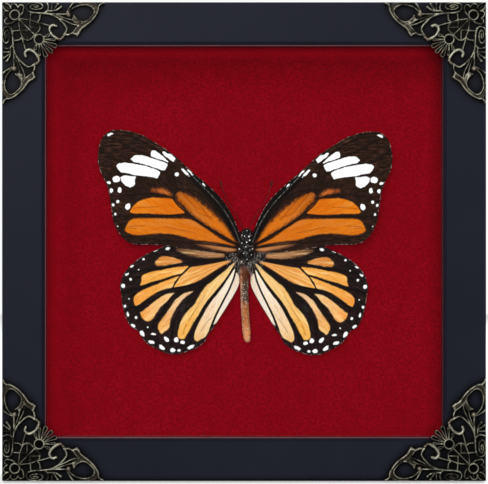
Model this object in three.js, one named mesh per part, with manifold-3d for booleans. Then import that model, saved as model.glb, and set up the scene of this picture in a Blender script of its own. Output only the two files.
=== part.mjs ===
// Butterfly specimen in a glazed box frame: four mitred rails with a rabbet, glass, spacer strips, a
// velvet-covered mount board, a back board held by framing points, a sawtooth hanger, four cast filigree
// corners, and a common tiger butterfly set with its wings spread.
//
// Everything is first laid on its back: x to the right, y up the frame, z towards the viewer, z = 0 on the
// frame's front face. The last group stands it up. Millimetres.
import * as THREE from 'three';
import { mergeVertices } from 'three/addons/utils/BufferGeometryUtils.js';
import Module from 'manifold-3d';

const wasm = await Module();
wasm.setup();

// ---- driving dimensions ---------------------------------------------------------------------------------
const FRAME = { width: 130, height: 128.6, depth: 30 };
const RAIL = {
  face: 11.4, // width of the front face, from the outer edge to the sight edge
  wall: 7.5, // thickness of the side wall behind the lip
  lip: 5, // depth of the lip over the glass
  bevel: 0.8, // bevel along the sight edge
  edgeRadius: 0.5, // rounding of the outer edges
  mitreGap: 0.1,
};
const GAP = 0.3; // play between pieces that lie on each other inside the box
const PLAY = 0.3; // play of the panes inside the rabbet, each side
const GLASS_THICK = 2;
const VELVET = { thick: 0.8, depth: 16.3 }; // depth of its surface below the front face
const SPACER_WIDTH = 3;
const MOUNT_THICK = 3;
const BACK_THICK = 3;
const POINT = { width: 8, length: 12, thick: 0.8, bite: 3.5, taper: 1.5, offset: 34 };
const HANGER = { length: 45, height: 6.6, thick: 0.8, tooth: 1.1, teeth: 9, plainEnd: 8, lift: 0.1 };
const NAIL = {
  fromEnd: 3, // from the end of the hanger
  radius: 0.8,
  length: 6,
  point: 1,
  head: 1.6,
  headThick: 0.7,
  headEdge: 0.3, // thickness of the head at its edge
  headFlat: 1, // radius of the flat on top of it
  play: 0.3, // in the rail
  looseness: 0.1, // in the hanger's holes
  lift: 0.05,
};
const CASTING = {
  thick: 1.4,
  web: 0.5, // floor of the two round eyes
  stand: 0.1, // play behind the filigree corners
  finest: 0.04, // smallest step of their outline
  cast: 1.03, // size of the casting against its pattern
};

const MATERIALS = {
  lacquer: { color: 0x26282f, roughness: 0.42 },
  glass: { color: 0xe9f0ee, roughness: 0.05, transparent: true, opacity: 0.3 },
  blackCard: { color: 0x17171a, roughness: 0.9 },
  greyBoard: { color: 0x8f8a80, roughness: 0.95 },
  hardboard: { color: 0x5b4330, roughness: 0.85 },
  velvet: { color: 0x8e0a19, roughness: 1 },
  steel: { color: 0xa9abad, roughness: 0.35, metalness: 1 },
  brassPlate: { color: 0xb08d4a, roughness: 0.35, metalness: 1 },
  bronze: { color: 0x6a603f, roughness: 0.4, metalness: 1 },
  forewing: { color: 0xa85f1c, roughness: 0.8 },
  hindwing: { color: 0xd9964a, roughness: 0.8 },
  body: { color: 0x2a231d, roughness: 0.9 },
  antenna: { color: 0x1c1512, roughness: 0.7 },
};

const FINEST = 0.02; // steps smaller than this are smoothed out where pieces are joined
const SIDES_ROUND = { pin: 10, nailHead: 8, body: 10, eye: 6, club: 6 };

// ---- solids ---------------------------------------------------------------------------------------------
function solid(geometry) {
  const plain = geometry.clone();
  plain.deleteAttribute('normal');
  plain.deleteAttribute('uv');
  const merged = mergeVertices(plain, 1e-4);
  const vertProperties = new Float32Array(merged.attributes.position.array);
  const corners = [];
  for (let i = 0; i < merged.index.count; i += 3) {
    const [a, b, c] = merged.index.array.slice(i, i + 3);
    if (a !== b && b !== c && c !== a) corners.push(a, b, c);
  }
  const triVerts = new Uint32Array(corners);
  const whole = (order) => new wasm.Manifold(new wasm.Mesh({ numProp: 3, vertProperties, triVerts: order }));
  const made = whole(triVerts);
  if (made.volume() > 0) return made;
  for (let i = 0; i < triVerts.length; i += 3) {
    [triVerts[i], triVerts[i + 1]] = [triVerts[i + 1], triVerts[i]];
  }
  return whole(triVerts);
}

function geometryOf(manifold) {
  const mesh = manifold.getMesh();
  const geometry = new THREE.BufferGeometry();
  geometry.setAttribute('position', new THREE.BufferAttribute(new Float32Array(mesh.vertProperties), 3));
  geometry.setIndex(new THREE.BufferAttribute(new Uint32Array(mesh.triVerts), 1));
  return geometry;
}

function joined(parts) {
  const whole = parts.reduce((sum, part) => sum.add(part));
  return geometryOf(whole.asOriginal().simplify(FINEST));
}

function piece(name, geometry, finish) {
  const mesh = new THREE.Mesh(geometry, new THREE.MeshStandardMaterial(MATERIALS[finish]));
  mesh.name = name;
  return mesh;
}

// A plate centred on the frame's axis, with its front face at a depth below the frame's face.
function plate(name, width, height, thick, depth, finish) {
  const mesh = piece(name, new THREE.BoxGeometry(width, height, thick), finish);
  mesh.position.z = -depth - thick / 2;
  return mesh;
}

const flatShape = (points) => new THREE.Shape(points.map(([x, y]) => new THREE.Vector2(x, y)));

// ---- rails ----------------------------------------------------------------------------------------------
const INSIDE = { width: FRAME.width - 2 * RAIL.wall, height: FRAME.height - 2 * RAIL.wall };

// Section across a rail: x is the distance from the outer edge, y the height, 0 on the front face.
function railSection() {
  const { face, wall, lip, bevel, edgeRadius: r } = RAIL;
  const section = new THREE.Shape();
  section.moveTo(0, -r);
  section.absarc(r, -r, r, Math.PI, Math.PI / 2, true);
  section.lineTo(face - bevel, 0);
  section.lineTo(face, -bevel);
  section.lineTo(face, -lip);
  section.lineTo(wall, -lip);
  section.lineTo(wall, -FRAME.depth);
  section.lineTo(r, -FRAME.depth);
  section.absarc(r, -FRAME.depth + r, r, -Math.PI / 2, -Math.PI, true);
  section.closePath();
  return section;
}

// The rail lies along x, its outer edge at y = 0, and is mitred at both ends.
function railGeometry(length) {
  const bar = new THREE.ExtrudeGeometry(railSection(), { depth: 1, bevelEnabled: false, curveSegments: 4 });
  const at = bar.attributes.position;
  for (let i = 0; i < at.count; i++) {
    const across = at.getX(i);
    const end = at.getZ(i) > 0.5 ? -1 : 1;
    at.setXYZ(i, end * (length / 2 - across - RAIL.mitreGap / 2), across, at.getY(i));
  }
  return bar;
}

// Slits in the side wall for the framing points.
function pointSlits() {
  const room = 2 * GAP;
  const slit = new THREE.BoxGeometry(POINT.width + room, POINT.bite + 1, POINT.thick + room);
  return [-1, 1].map((side) => {
    const cut = slit.clone();
    cut.translate(side * POINT.offset, RAIL.wall - (POINT.bite + 1) / 2 + 1, -POINT_DEPTH);
    return solid(cut);
  });
}

const MOUNT_DEPTH = VELVET.depth + VELVET.thick + GAP;
const BACK_DEPTH = MOUNT_DEPTH + MOUNT_THICK + GAP;
const POINT_DEPTH = BACK_DEPTH + BACK_THICK + GAP / 2 + POINT.thick / 2;

const SIDES = [
  { name: 'bottom', turn: 0, length: FRAME.width, out: FRAME.height / 2 },
  { name: 'right', turn: Math.PI / 2, length: FRAME.height, out: FRAME.width / 2 },
  { name: 'top', turn: Math.PI, length: FRAME.width, out: FRAME.height / 2 },
  { name: 'left', turn: -Math.PI / 2, length: FRAME.height, out: FRAME.width / 2 },
];

// A thin pointed steel blade, pressed into the side wall and lying on the back board.
function framingPoint() {
  const { width, length, thick, bite, taper } = POINT;
  const blade = flatShape([
    [-width / 2, -bite + taper],
    [0, -bite],
    [width / 2, -bite + taper],
    [width / 2 - taper, length - bite],
    [-width / 2 + taper, length - bite],
  ]);
  const geometry = new THREE.ExtrudeGeometry(blade, { depth: thick, bevelEnabled: false });
  geometry.translate(0, RAIL.wall, -POINT_DEPTH - thick / 2);
  return geometryOf(solid(geometry));
}

// A black strip on edge between the glass and the velvet, set back behind the lip.
function spacer(side) {
  const upright = side.name === 'left' || side.name === 'right';
  const top = RAIL.lip + GAP + GLASS_THICK + GAP;
  const bottom = VELVET.depth - GAP;
  const length = (upright ? INSIDE.height - 2 * SPACER_WIDTH - 2 * GAP : INSIDE.width) - 2 * PLAY;
  const strip = new THREE.BoxGeometry(length, SPACER_WIDTH, bottom - top);
  strip.translate(0, RAIL.wall + PLAY + SPACER_WIDTH / 2, -(top + bottom) / 2);
  return strip;
}

function frameSide(side) {
  const group = new THREE.Group();
  const inner = new THREE.Group();
  inner.position.y = -side.out;
  const cuts = pointSlits();
  if (side.name === 'top') {
    const holes = nailHoles(2 * NAIL.length, NAIL.play, RAIL.wall / 2);
    cuts.push(...holes.map((hole) => hole.translate([0, 0, -FRAME.depth])));
  }
  const slit = cuts.reduce((rail, cut) => rail.subtract(cut), solid(railGeometry(side.length)));
  inner.add(piece(`rail_${side.name}`, geometryOf(slit), 'lacquer'));
  inner.add(piece(`spacer_${side.name}`, spacer(side), 'blackCard'));
  for (const [end, x] of [['a', -POINT.offset], ['b', POINT.offset]]) {
    const blade = piece(`framing_point_${side.name}_${end}`, framingPoint(), 'steel');
    blade.position.x = x;
    inner.add(blade);
  }
  group.add(inner);
  group.rotation.z = side.turn;
  return group;
}

// ---- hanger ---------------------------------------------------------------------------------------------
const nailOffset = HANGER.length / 2 - NAIL.fromEnd;

// A strip with teeth along its lower edge and a hole at each end.
function hangerStrip() {
  const { length, height, thick, tooth, teeth, plainEnd } = HANGER;
  const half = length / 2;
  const toothed = half - plainEnd;
  const pitch = (2 * toothed) / teeth;
  const outline = [[-half, 0], [-half, height], [half, height], [half, 0], [toothed, 0]];
  for (let right = toothed, i = 0; i < teeth; i++, right -= pitch) {
    outline.push([right - pitch / 2, tooth], [right - pitch, 0]);
  }
  const strip = solid(new THREE.ExtrudeGeometry(flatShape(outline), { depth: thick, bevelEnabled: false }));
  const holes = nailHoles(thick * 4, NAIL.looseness, height / 2);
  return geometryOf(holes.reduce((bar, hole) => bar.subtract(hole), strip));
}

// Two round holes or pins across the hanger, reaching as far each way from its back.
function nailHoles(length, play, y) {
  return [-1, 1].map((side) => {
    const hole = new THREE.CylinderGeometry(NAIL.radius + play, NAIL.radius + play, length, SIDES_ROUND.pin);
    hole.rotateX(Math.PI / 2);
    hole.translate(side * nailOffset, y, 0);
    return solid(hole);
  });
}

function nail() {
  const { radius, length, point, head, headThick, headEdge, headFlat } = NAIL;
  const profile = [
    [0, -length],
    [radius, -length + point],
    [radius, 0],
    [head, 0],
    [head, headEdge],
    [headFlat, headThick],
    [0, headThick],
  ];
  const half = profile.map(([r, z]) => new THREE.Vector2(r, z));
  const turned = new THREE.LatheGeometry(half, SIDES_ROUND.nailHead);
  turned.rotateX(Math.PI / 2);
  return geometryOf(solid(turned));
}

// Nailed to the back of the top rail, teeth downwards.
function hanger() {
  const group = new THREE.Group();
  group.add(piece('sawtooth_hanger', hangerStrip(), 'brassPlate'));
  for (const [end, side] of [['left', 1], ['right', -1]]) {
    const one = piece(`hanger_nail_${end}`, nail(), 'steel');
    one.position.set(side * nailOffset, HANGER.height / 2, HANGER.thick + NAIL.lift);
    group.add(one);
  }
  group.rotation.y = Math.PI;
  group.position.set(0, FRAME.height / 2 - RAIL.wall / 2 - HANGER.height / 2, -FRAME.depth - HANGER.lift);
  return group;
}

// ---- cast filigree corner -------------------------------------------------------------------------------
// Flat-backed casting, drawn for one leg as [distance from the frame's edge, distance along it from the
// corner]. The other leg is its mirror image in the diagonal.
const FINE = 0.4;
const CORD = 0.52;
const SCROLL = 0.84;

// Each strand: width, number of straight steps, path.
const LEG_STRANDS = [
  // the stem along the leg, and the spiral that it grows from
  [CORD, 3, [[2.45, 6.9], [2.8, 8.1], [2.9, 9.6], [3, 11.2], [3.15, 12.8], [3.2, 14.6], [3.2, 16.8]]],
  [FINE, 9, [
    [2.45, 6.9], [1.9, 6.5], [1.2, 6.5], [0.55, 6.95], [0.35, 8], [0.35, 9.4], [0.6, 10.35], [1.2, 10.75],
    [1.75, 10.3], [1.95, 9.4], [1.85, 8.1], [1.35, 7.4]]],
  // the sprig
  [CORD, 3, [[3, 11.2], [2.35, 11.9], [2.35, 13.2], [2.1, 14.3], [1.35, 15.4]]],
  [FINE, 1, [[2.3, 12], [0.35, 11.8]]],
  [FINE, 1, [[2.3, 13.05], [0.35, 13.1]]],
  [FINE, 1, [[2.1, 13.5], [0.55, 14.6]]],
  // the links to the leaf and the scroll
  [FINE, 1, [[2.8, 7.6], [4.65, 7.45]]],
  [FINE, 1, [[3.5, 10.05], [5.3, 9.5]]],
  [FINE, 1, [[5.4, 9.5], [6.3, 12.6]]],
  // the strand to the scroll, the scroll and its lobes
  [CORD, 5, [
    [3.15, 12.4], [3.6, 13.6], [4.2, 14.65], [5.1, 15.6], [6.1, 16.5], [7, 16.95], [7.8, 16.75],
    [8.55, 16.2]]],
  [SCROLL, 5, [
    [6.3, 14.2], [6.05, 13.35], [6.5, 12.7], [7.2, 12.45], [8, 12.75], [8.8, 13.35], [9.3, 14.1],
    [9.65, 14.7]]],
  [SCROLL, 2, [[9.6, 14.4], [9.65, 15.3], [9.1, 16.05], [8.4, 16.4]]],
  // two leaf strands
  [FINE, 2, [[4, 14.4], [4.9, 16.5], [5.6, 17.9], [6, 19.2], [6.1, 20.1]]],
  [FINE, 2, [[3.4, 14.2], [4, 15.8], [4.45, 17.3], [4.75, 18.4]]],
  // the link to the loop, and the strands from the bead to the loop and to the frame's edge
  [CORD, 1, [[8.5, 16.4], [8.2, 18.6]]],
  [FINE, 2, [[2.8, 17.4], [1.6, 18.7], [0.8, 20.4]]],
  [CORD, 1, [[3.2, 16.9], [0.4, 18.5]]],
];
const BEAD = { at: [3.3, 17.4], radius: 0.7 };
// The flat band round the loop's opening, with its nose, and the bar that crosses it.
const BAND = [
  [8, 18.4], [8.6, 19.4], [8.2, 20.3], [7.1, 20.9], [6.5, 21.8], [5.7, 22.9], [4.5, 24.05], [3.2, 24.95],
  [1.4, 25.5], [0.5, 26.5], [0.15, 26.4], [0.15, 20], [0.9, 20], [1, 22.3], [1.5, 23.3], [2.2, 23.85],
  [3, 23.8], [3.7, 23.25], [4.9, 21.8], [5, 20.8], [6, 19.9],
];
const BAR = [[3.5, 18.6], [4.6, 18.2], [5.4, 19], [5.9, 20.2], [5.2, 21.2], [4.65, 20], [4, 19.3]];
// Half of the leaf and half of the corner flower, from one end of the diagonal to the other.
const LEAF = [
  [4.3, 4.3], [4.35, 6], [4.5, 7.2], [4.85, 8.4], [5.3, 9.4],
  [6.1, 10.1], [7, 10.15], [7.8, 9.7], [8.7, 8.7],
];
const PETALS = [
  [0.15, 0.15], [0.15, 1], [0.8, 2.1], [0.4, 2.8], [0.35, 3.5], [1.2, 4.35], [0.7, 4.8], [0.75, 5.5],
  [1.3, 5.95], [2.8, 5.6], [3.4, 5.1], [4.6, 4.4],
];
const EYES = { flower: 3.42, fan: 9.75 }; // centres of the two round eyes, the same distance from both edges
const EYE_RING = { radius: 1, wall: 0.45, sides: 10 };
// Each of the fan's petals: turn from the diagonal in degrees, reach and half width in degrees.
const FAN = [
  [-68, 3.2, 10], [-43, 4.4, 7], [-22.5, 5.1, 8], [0, 5, 8], [22.5, 5.1, 8], [43, 4.4, 7], [68, 3.2, 10],
];
const FAN_ROOT = 1.7; // how far the notches between the petals stay from the eye's centre
const FAN_SHOULDER = 0.88; // where a petal is widest, as a share of its reach

const swapped = (path) => path.map(([a, b]) => [b, a]);
const DEGREE = Math.PI / 180;

function casting(shape) {
  return solid(new THREE.ExtrudeGeometry(shape, { depth: CASTING.thick, bevelEnabled: false }));
}

// A flat-topped strip that follows a path on the back plane.
function wire(width, steps, path) {
  const curve = new THREE.SplineCurve(path.map(([x, y]) => new THREE.Vector2(x, y)));
  const sides = [[], []];
  for (let i = 0; i <= steps; i++) {
    const at = curve.getPointAt(i / steps);
    const along = curve.getTangentAt(i / steps);
    const across = new THREE.Vector2(-along.y, along.x).multiplyScalar(width / 2);
    sides[0].push(at.clone().add(across));
    sides[1].unshift(at.clone().sub(across));
  }
  return casting(new THREE.Shape(sides.flat()));
}

function disc(radius, [x, y], thick = CASTING.thick) {
  const round = new THREE.CylinderGeometry(radius, radius, thick, EYE_RING.sides);
  round.rotateX(Math.PI / 2);
  round.translate(x, y, thick / 2);
  return solid(round);
}

// Petals with rounded tips, fanned out over the corner of the opening.
function fanPetals() {
  const polar = (r, turn) => [EYES.fan + r * Math.cos(turn * DEGREE), EYES.fan + r * Math.sin(turn * DEGREE)];
  const outline = FAN.flatMap(([off, reach, half]) => {
    const middle = 45 + off;
    return [
      polar(FAN_ROOT, middle - half),
      polar(reach * FAN_SHOULDER, middle - half),
      polar(reach, middle - half / 3),
      polar(reach, middle + half / 3),
      polar(reach * FAN_SHOULDER, middle + half),
      polar(FAN_ROOT, middle + half),
    ];
  });
  return casting(flatShape([...outline, polar(0, 0)]));
}

function filigree() {
  const { thick, web, cast, finest } = CASTING;
  const diagonal = (half) => flatShape([...half, ...swapped(half.slice(1, -1)).reverse()]);
  const parts = [casting(diagonal(LEAF)), casting(diagonal(PETALS)), fanPetals()];
  for (const turn of [(path) => path, swapped]) {
    for (const [width, steps, path] of LEG_STRANDS) parts.push(wire(width, steps, turn(path)));
    for (const outline of [BAND, BAR]) parts.push(casting(flatShape(turn(outline))));
    parts.push(disc(BEAD.radius, turn([BEAD.at])[0]));
  }
  let whole = parts.reduce((sum, part) => sum.add(part));
  for (const at of Object.values(EYES)) {
    const hollow = disc(EYE_RING.radius, [at, at], 2 * thick).translate([0, 0, web]);
    whole = whole.add(disc(EYE_RING.radius + EYE_RING.wall, [at, at])).subtract(hollow);
  }
  return geometryOf(whole.scale([cast, cast, 1]).asOriginal().simplify(finest));
}

// ---- butterfly ------------------------------------------------------------------------------------------
// Set with its underside on the velvet. x is measured outwards from the body's own axis, y from the frame's
// middle, and heights from the velvet.
const BODY_AXIS = 0.6; // the body sits this far right of the frame's middle
const WING_THICK = 0.3;
// The right wings are not quite the left ones mirrored: how far they reach sideways and upwards, how far they
// lean in below, and how far they sit to the right and higher.
const RIGHT_SET = {
  forewing: { reach: 0.984, rise: 0.985, lean: 0, shift: [0, 0] },
  hindwing: { reach: 0.985, rise: 1, lean: 0.018, shift: [-0.45, -0.27] },
};
const FOREWING = {
  root: [2, -0.8],
  outline: [
    [1.2, 1.2], [1.9, 2.6], [3.4, 6.2], [5, 9.3], [7.5, 12.6], [11, 15.9], [14.6, 18.9], [18.5, 22.5],
    [21, 24.6], [24.9, 27.1], [28.3, 29.1], [31.7, 30.2], [34.5, 30.6], [36.7, 30.5], [38.4, 29.6],
    [39.6, 28.2], [40.3, 26.1], [40.6, 23.6], [40.5, 21.1], [39.8, 18.9], [38.6, 16.6], [37.7, 14.1],
    [37.2, 11], [36.8, 8.2], [36.3, 5.4], [35.3, 3.2], [33.9, 1.2], [31.9, -0.3], [29.4, -0.8],
    [26.1, -0.8], [22.4, -1.1], [18.8, -1.7], [14.9, -2.2], [10.7, -2.8], [6.5, -3.2], [3.7, -3.2],
    [1.4, -2.7],
  ],
  rootHeight: 3.1,
  edgeHeight: 2.3,
};
const HINDWING = {
  root: [2.8, -4.4],
  outline: [
    [1.8, -3.2], [3, -2.4], [7, -1.4], [12.4, -0.2], [17.1, 0.2], [19.9, -0.2], [22.8, -1.4], [24.9, -2.4],
    [27.3, -3.4], [29.6, -4.8], [31.5, -6.4], [33.2, -8.3], [34.2, -10.4], [34.6, -12.3], [34.3, -14.4],
    [34.1, -16.5], [33.6, -18.9], [32.9, -21.2], [31.5, -23.4], [29.6, -24.5], [28.7, -26.2], [27, -28.1],
    [24.7, -29.3], [22.8, -30.3], [20.7, -30.8], [18.5, -30.8], [16.4, -30.2], [14.3, -29.5],
    [12.9, -28.6], [11.4, -27.4], [10.5, -25.5], [9.2, -23.8], [7.4, -21], [5.4, -17.9], [3.8, -15.3],
    [2.3, -12.4], [1.9, -11], [1.9, -9.2],
  ],
  rootHeight: 2.1,
  edgeHeight: 1.2,
};
const WING_RINGS = [0.6, 1];
const WING_POINTS = 36;

// Head, thorax and abdomen: rounded, with the belly near the velvet.
const THORAX = { y: -2.9, half: [2.55, 5.2, 2.3], height: 2.5 };
const HEAD = { y: 2.5, half: [1.55, 1.5, 1.35], height: 2.7 };
const EYE = { x: 1.2, y: 2.7, r: 0.75 };
const ABDOMEN = {
  start: -6.2,
  sway: 1.2, // degrees to the right, seen from the front
  height: 1.75,
  room: { y: -9, half: [1.75, 6, 1.7] },
  radii: [[0, 0], [1.3, 0.1], [1.2, 5], [1.1, 11], [1.2, 17], [1.1, 19.8], [0.7, 21.1], [0, 21.5]],
};
const ANTENNA = {
  path: [
    [0.6, 3.3, 3], [1.6, 5.2, 3.3], [3.4, 8.5, 3.5], [5.3, 11.2, 3.6], [6.1, 13.4, 3.6], [6.9, 15.6, 3.4],
  ],
  radius: 0.16,
  club: { half: [0.32, 1.1, 0.32], sway: -16 },
};

// A thin plate on a fan of spokes from the root, higher at the root than at its edge.
function wing({ root, outline, rootHeight, edgeHeight }) {
  const corners = outline.map(([x, y]) => new THREE.Vector3(x, y, 0));
  const curve = new THREE.CatmullRomCurve3(corners, true, 'centripetal');
  const rim = curve.getSpacedPoints(WING_POINTS).slice(0, WING_POINTS);
  const top = [[root[0], root[1], rootHeight]];
  for (const part of WING_RINGS) {
    for (const p of rim) {
      const fall = (rootHeight - edgeHeight) * part * part;
      top.push([root[0] + (p.x - root[0]) * part, root[1] + (p.y - root[1]) * part, rootHeight - fall]);
    }
  }
  const under = top.map(([x, y, z]) => [x, y, z - WING_THICK]);
  const count = top.length;
  const faces = [];
  const both = (a, b, c) => faces.push(a, b, c, count + a, count + c, count + b);
  for (let i = 0; i < WING_POINTS; i++) {
    const j = (i + 1) % WING_POINTS;
    both(0, 1 + i, 1 + j);
    for (let k = 1; k < WING_RINGS.length; k++) {
      const [inner, outer] = [1 + (k - 1) * WING_POINTS, 1 + k * WING_POINTS];
      both(inner + i, outer + i, outer + j);
      both(inner + i, outer + j, inner + j);
    }
    const last = 1 + (WING_RINGS.length - 1) * WING_POINTS;
    faces.push(last + i, count + last + i, last + j, last + j, count + last + i, count + last + j);
  }
  const geometry = new THREE.BufferGeometry();
  geometry.setAttribute('position', new THREE.Float32BufferAttribute([...top, ...under].flat(), 3));
  geometry.setIndex(faces);
  return solid(geometry);
}

function egg([x, y, z], half, around = SIDES_ROUND.body, along = 7) {
  const ball = new THREE.SphereGeometry(1, around, along);
  ball.scale(...half);
  ball.translate(x, y, z);
  return solid(ball);
}

function abdomen() {
  const profile = ABDOMEN.radii.map(([r, y]) => new THREE.Vector2(r, -y));
  const tube = new THREE.LatheGeometry(profile, SIDES_ROUND.body);
  tube.rotateZ(ABDOMEN.sway * DEGREE);
  tube.translate(0, ABDOMEN.start, ABDOMEN.height);
  return solid(tube);
}

function bodyPart() {
  const ball = [EYE.r, EYE.r, EYE.r];
  const eyes = [-1, 1].map((side) => egg([side * EYE.x, EYE.y, HEAD.height], ball, SIDES_ROUND.eye, 4));
  const head = egg([0, HEAD.y, HEAD.height], HEAD.half, SIDES_ROUND.body, 6);
  const thorax = egg([0, THORAX.y, THORAX.height], THORAX.half);
  return joined([thorax, head, abdomen(), ...eyes]);
}

// What the wings keep clear of, so that they end just outside the body.
function bodyRoom() {
  const chest = egg([0, THORAX.y, THORAX.height], THORAX.half.map((size) => size + GAP));
  return chest.add(egg([0, ABDOMEN.room.y, ABDOMEN.height], ABDOMEN.room.half));
}

function setTo(side, manifold, { reach, rise, lean, shift: [right, up] }) {
  if (side < 0) return manifold.mirror([1, 0, 0]);
  const place = new THREE.Matrix4().set(
    reach, lean, 0, right,
    0, rise, 0, up,
    0, 0, 1, 0,
    0, 0, 0, 1,
  );
  return manifold.transform([...place.elements]);
}

function antenna(side) {
  const points = ANTENNA.path.map(([x, y, z]) => new THREE.Vector3(side * x, y, z));
  const section = new THREE.Shape();
  section.absarc(0, 0, ANTENNA.radius, 0, 2 * Math.PI, false);
  const shaft = new THREE.ExtrudeGeometry(section, {
    steps: 7, curveSegments: 2, bevelEnabled: false, extrudePath: new THREE.CatmullRomCurve3(points),
  });
  const club = new THREE.SphereGeometry(1, SIDES_ROUND.club, 4);
  club.scale(...ANTENNA.club.half);
  club.rotateZ(side * ANTENNA.club.sway * DEGREE);
  const tip = points.at(-1);
  club.translate(tip.x, tip.y, tip.z);
  return solid(shaft).add(solid(club)).asOriginal();
}

function butterfly() {
  const group = new THREE.Group();
  const room = bodyRoom();
  const headRoom = egg([0, HEAD.y, HEAD.height], HEAD.half.map((size) => size + GAP));
  for (const [name, side] of [['left', -1], ['right', 1]]) {
    const fore = setTo(side, wing(FOREWING), RIGHT_SET.forewing).subtract(room);
    const hind = setTo(side, wing(HINDWING), RIGHT_SET.hindwing).subtract(room);
    group.add(piece(`forewing_${name}`, geometryOf(fore), 'forewing'));
    group.add(piece(`hindwing_${name}`, geometryOf(hind), 'hindwing'));
    group.add(piece(`antenna_${name}`, geometryOf(antenna(side).subtract(headRoom)), 'antenna'));
  }
  group.add(piece('butterfly_body', bodyPart(), 'body'));
  group.position.set(BODY_AXIS, 0, -VELVET.depth);
  return group;
}

// ---- assembly -------------------------------------------------------------------------------------------
const laid = new THREE.Group();
for (const side of SIDES) laid.add(frameSide(side));

const [paneWidth, paneHeight] = [INSIDE.width - 2 * PLAY, INSIDE.height - 2 * PLAY];
laid.add(plate('glass_pane', paneWidth, paneHeight, GLASS_THICK, RAIL.lip + GAP, 'glass'));
laid.add(plate('red_velvet', paneWidth, paneHeight, VELVET.thick, VELVET.depth, 'velvet'));
laid.add(plate('mount_board', paneWidth, paneHeight, MOUNT_THICK, MOUNT_DEPTH, 'greyBoard'));
laid.add(plate('back_board', paneWidth, paneHeight, BACK_THICK, BACK_DEPTH, 'hardboard'));

laid.add(hanger());

const CORNERS = [
  { name: 'bottom_left', turn: 0, x: -1, y: -1 },
  { name: 'bottom_right', turn: Math.PI / 2, x: 1, y: -1 },
  { name: 'top_right', turn: Math.PI, x: 1, y: 1 },
  { name: 'top_left', turn: -Math.PI / 2, x: -1, y: 1 },
];
for (const corner of CORNERS) {
  const casting = piece(`corner_ornament_${corner.name}`, filigree(), 'bronze');
  casting.rotation.z = corner.turn;
  casting.position.set((corner.x * FRAME.width) / 2, (corner.y * FRAME.height) / 2, CASTING.stand);
  laid.add(casting);
}
laid.add(butterfly());

// Stand it up on its bottom edge, with the middle of its whole depth on the origin.
const proudFront = CASTING.stand + CASTING.thick;
const proudBack = HANGER.lift + HANGER.thick + NAIL.lift + NAIL.headThick;
laid.rotation.x = Math.PI / 2;
laid.position.set(0, (proudFront - proudBack - FRAME.depth) / 2, FRAME.height / 2);

const framedButterfly = new THREE.Group();
framedButterfly.add(laid);
export default framedButterfly;
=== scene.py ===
"""A common tiger butterfly set on red velvet in a glazed box frame with cast bronze corners.

Sizes are millimetres: x to the right and y up from the frame's middle, and depth below the frame's
front face.
"""

import math

import bpy
import numpy as np
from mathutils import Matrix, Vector


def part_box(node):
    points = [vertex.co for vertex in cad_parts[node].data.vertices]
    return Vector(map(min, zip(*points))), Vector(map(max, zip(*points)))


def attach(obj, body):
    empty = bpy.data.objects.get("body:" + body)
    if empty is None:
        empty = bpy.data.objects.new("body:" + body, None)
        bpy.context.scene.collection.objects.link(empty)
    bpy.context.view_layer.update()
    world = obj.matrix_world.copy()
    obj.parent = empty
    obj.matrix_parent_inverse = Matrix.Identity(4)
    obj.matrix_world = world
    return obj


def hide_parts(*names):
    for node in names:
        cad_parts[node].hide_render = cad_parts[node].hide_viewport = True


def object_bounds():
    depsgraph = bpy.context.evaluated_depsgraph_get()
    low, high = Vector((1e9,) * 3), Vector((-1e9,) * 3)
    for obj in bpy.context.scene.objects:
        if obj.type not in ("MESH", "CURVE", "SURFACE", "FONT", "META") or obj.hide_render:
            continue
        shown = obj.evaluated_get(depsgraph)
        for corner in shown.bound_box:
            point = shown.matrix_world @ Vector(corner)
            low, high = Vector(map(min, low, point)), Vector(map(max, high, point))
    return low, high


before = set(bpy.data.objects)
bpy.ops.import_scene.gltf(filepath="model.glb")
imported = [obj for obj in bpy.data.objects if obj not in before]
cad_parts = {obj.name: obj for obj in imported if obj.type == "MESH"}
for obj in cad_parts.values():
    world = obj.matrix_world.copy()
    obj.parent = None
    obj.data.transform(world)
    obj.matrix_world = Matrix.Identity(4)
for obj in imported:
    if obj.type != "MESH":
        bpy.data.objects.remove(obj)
cad_box = [list(corner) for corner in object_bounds()]

# ---- Camera ----
# Square on to the frame's face and level with its middle, far enough away for the box to look nearly flat.
MM = 0.001
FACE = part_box("rail_top")[0].y / MM
MIDDLE = (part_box("rail_bottom")[0].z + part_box("rail_top")[1].z) / 2 / MM
CAMERA_DISTANCE = 650.0
CAMERA_OFF = (-0.02, -0.1)  # how far right of the frame's middle it stands, and how far above
VIEW_WIDTH = 131.0  # of the frame's face
FILM_WIDTH = 36.0

camera = bpy.data.objects.new("Camera", bpy.data.cameras.new("Camera"))
camera.data.sensor_width = FILM_WIDTH
camera.data.lens = FILM_WIDTH * CAMERA_DISTANCE / VIEW_WIDTH
camera.location = (CAMERA_OFF[0] * MM, (FACE - CAMERA_DISTANCE) * MM, (MIDDLE + CAMERA_OFF[1]) * MM)
camera.rotation_euler = (math.pi / 2, 0, 0)
bpy.context.collection.objects.link(camera)
bpy.context.scene.camera = camera
bpy.context.scene.view_settings.view_transform = "Standard"

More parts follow.
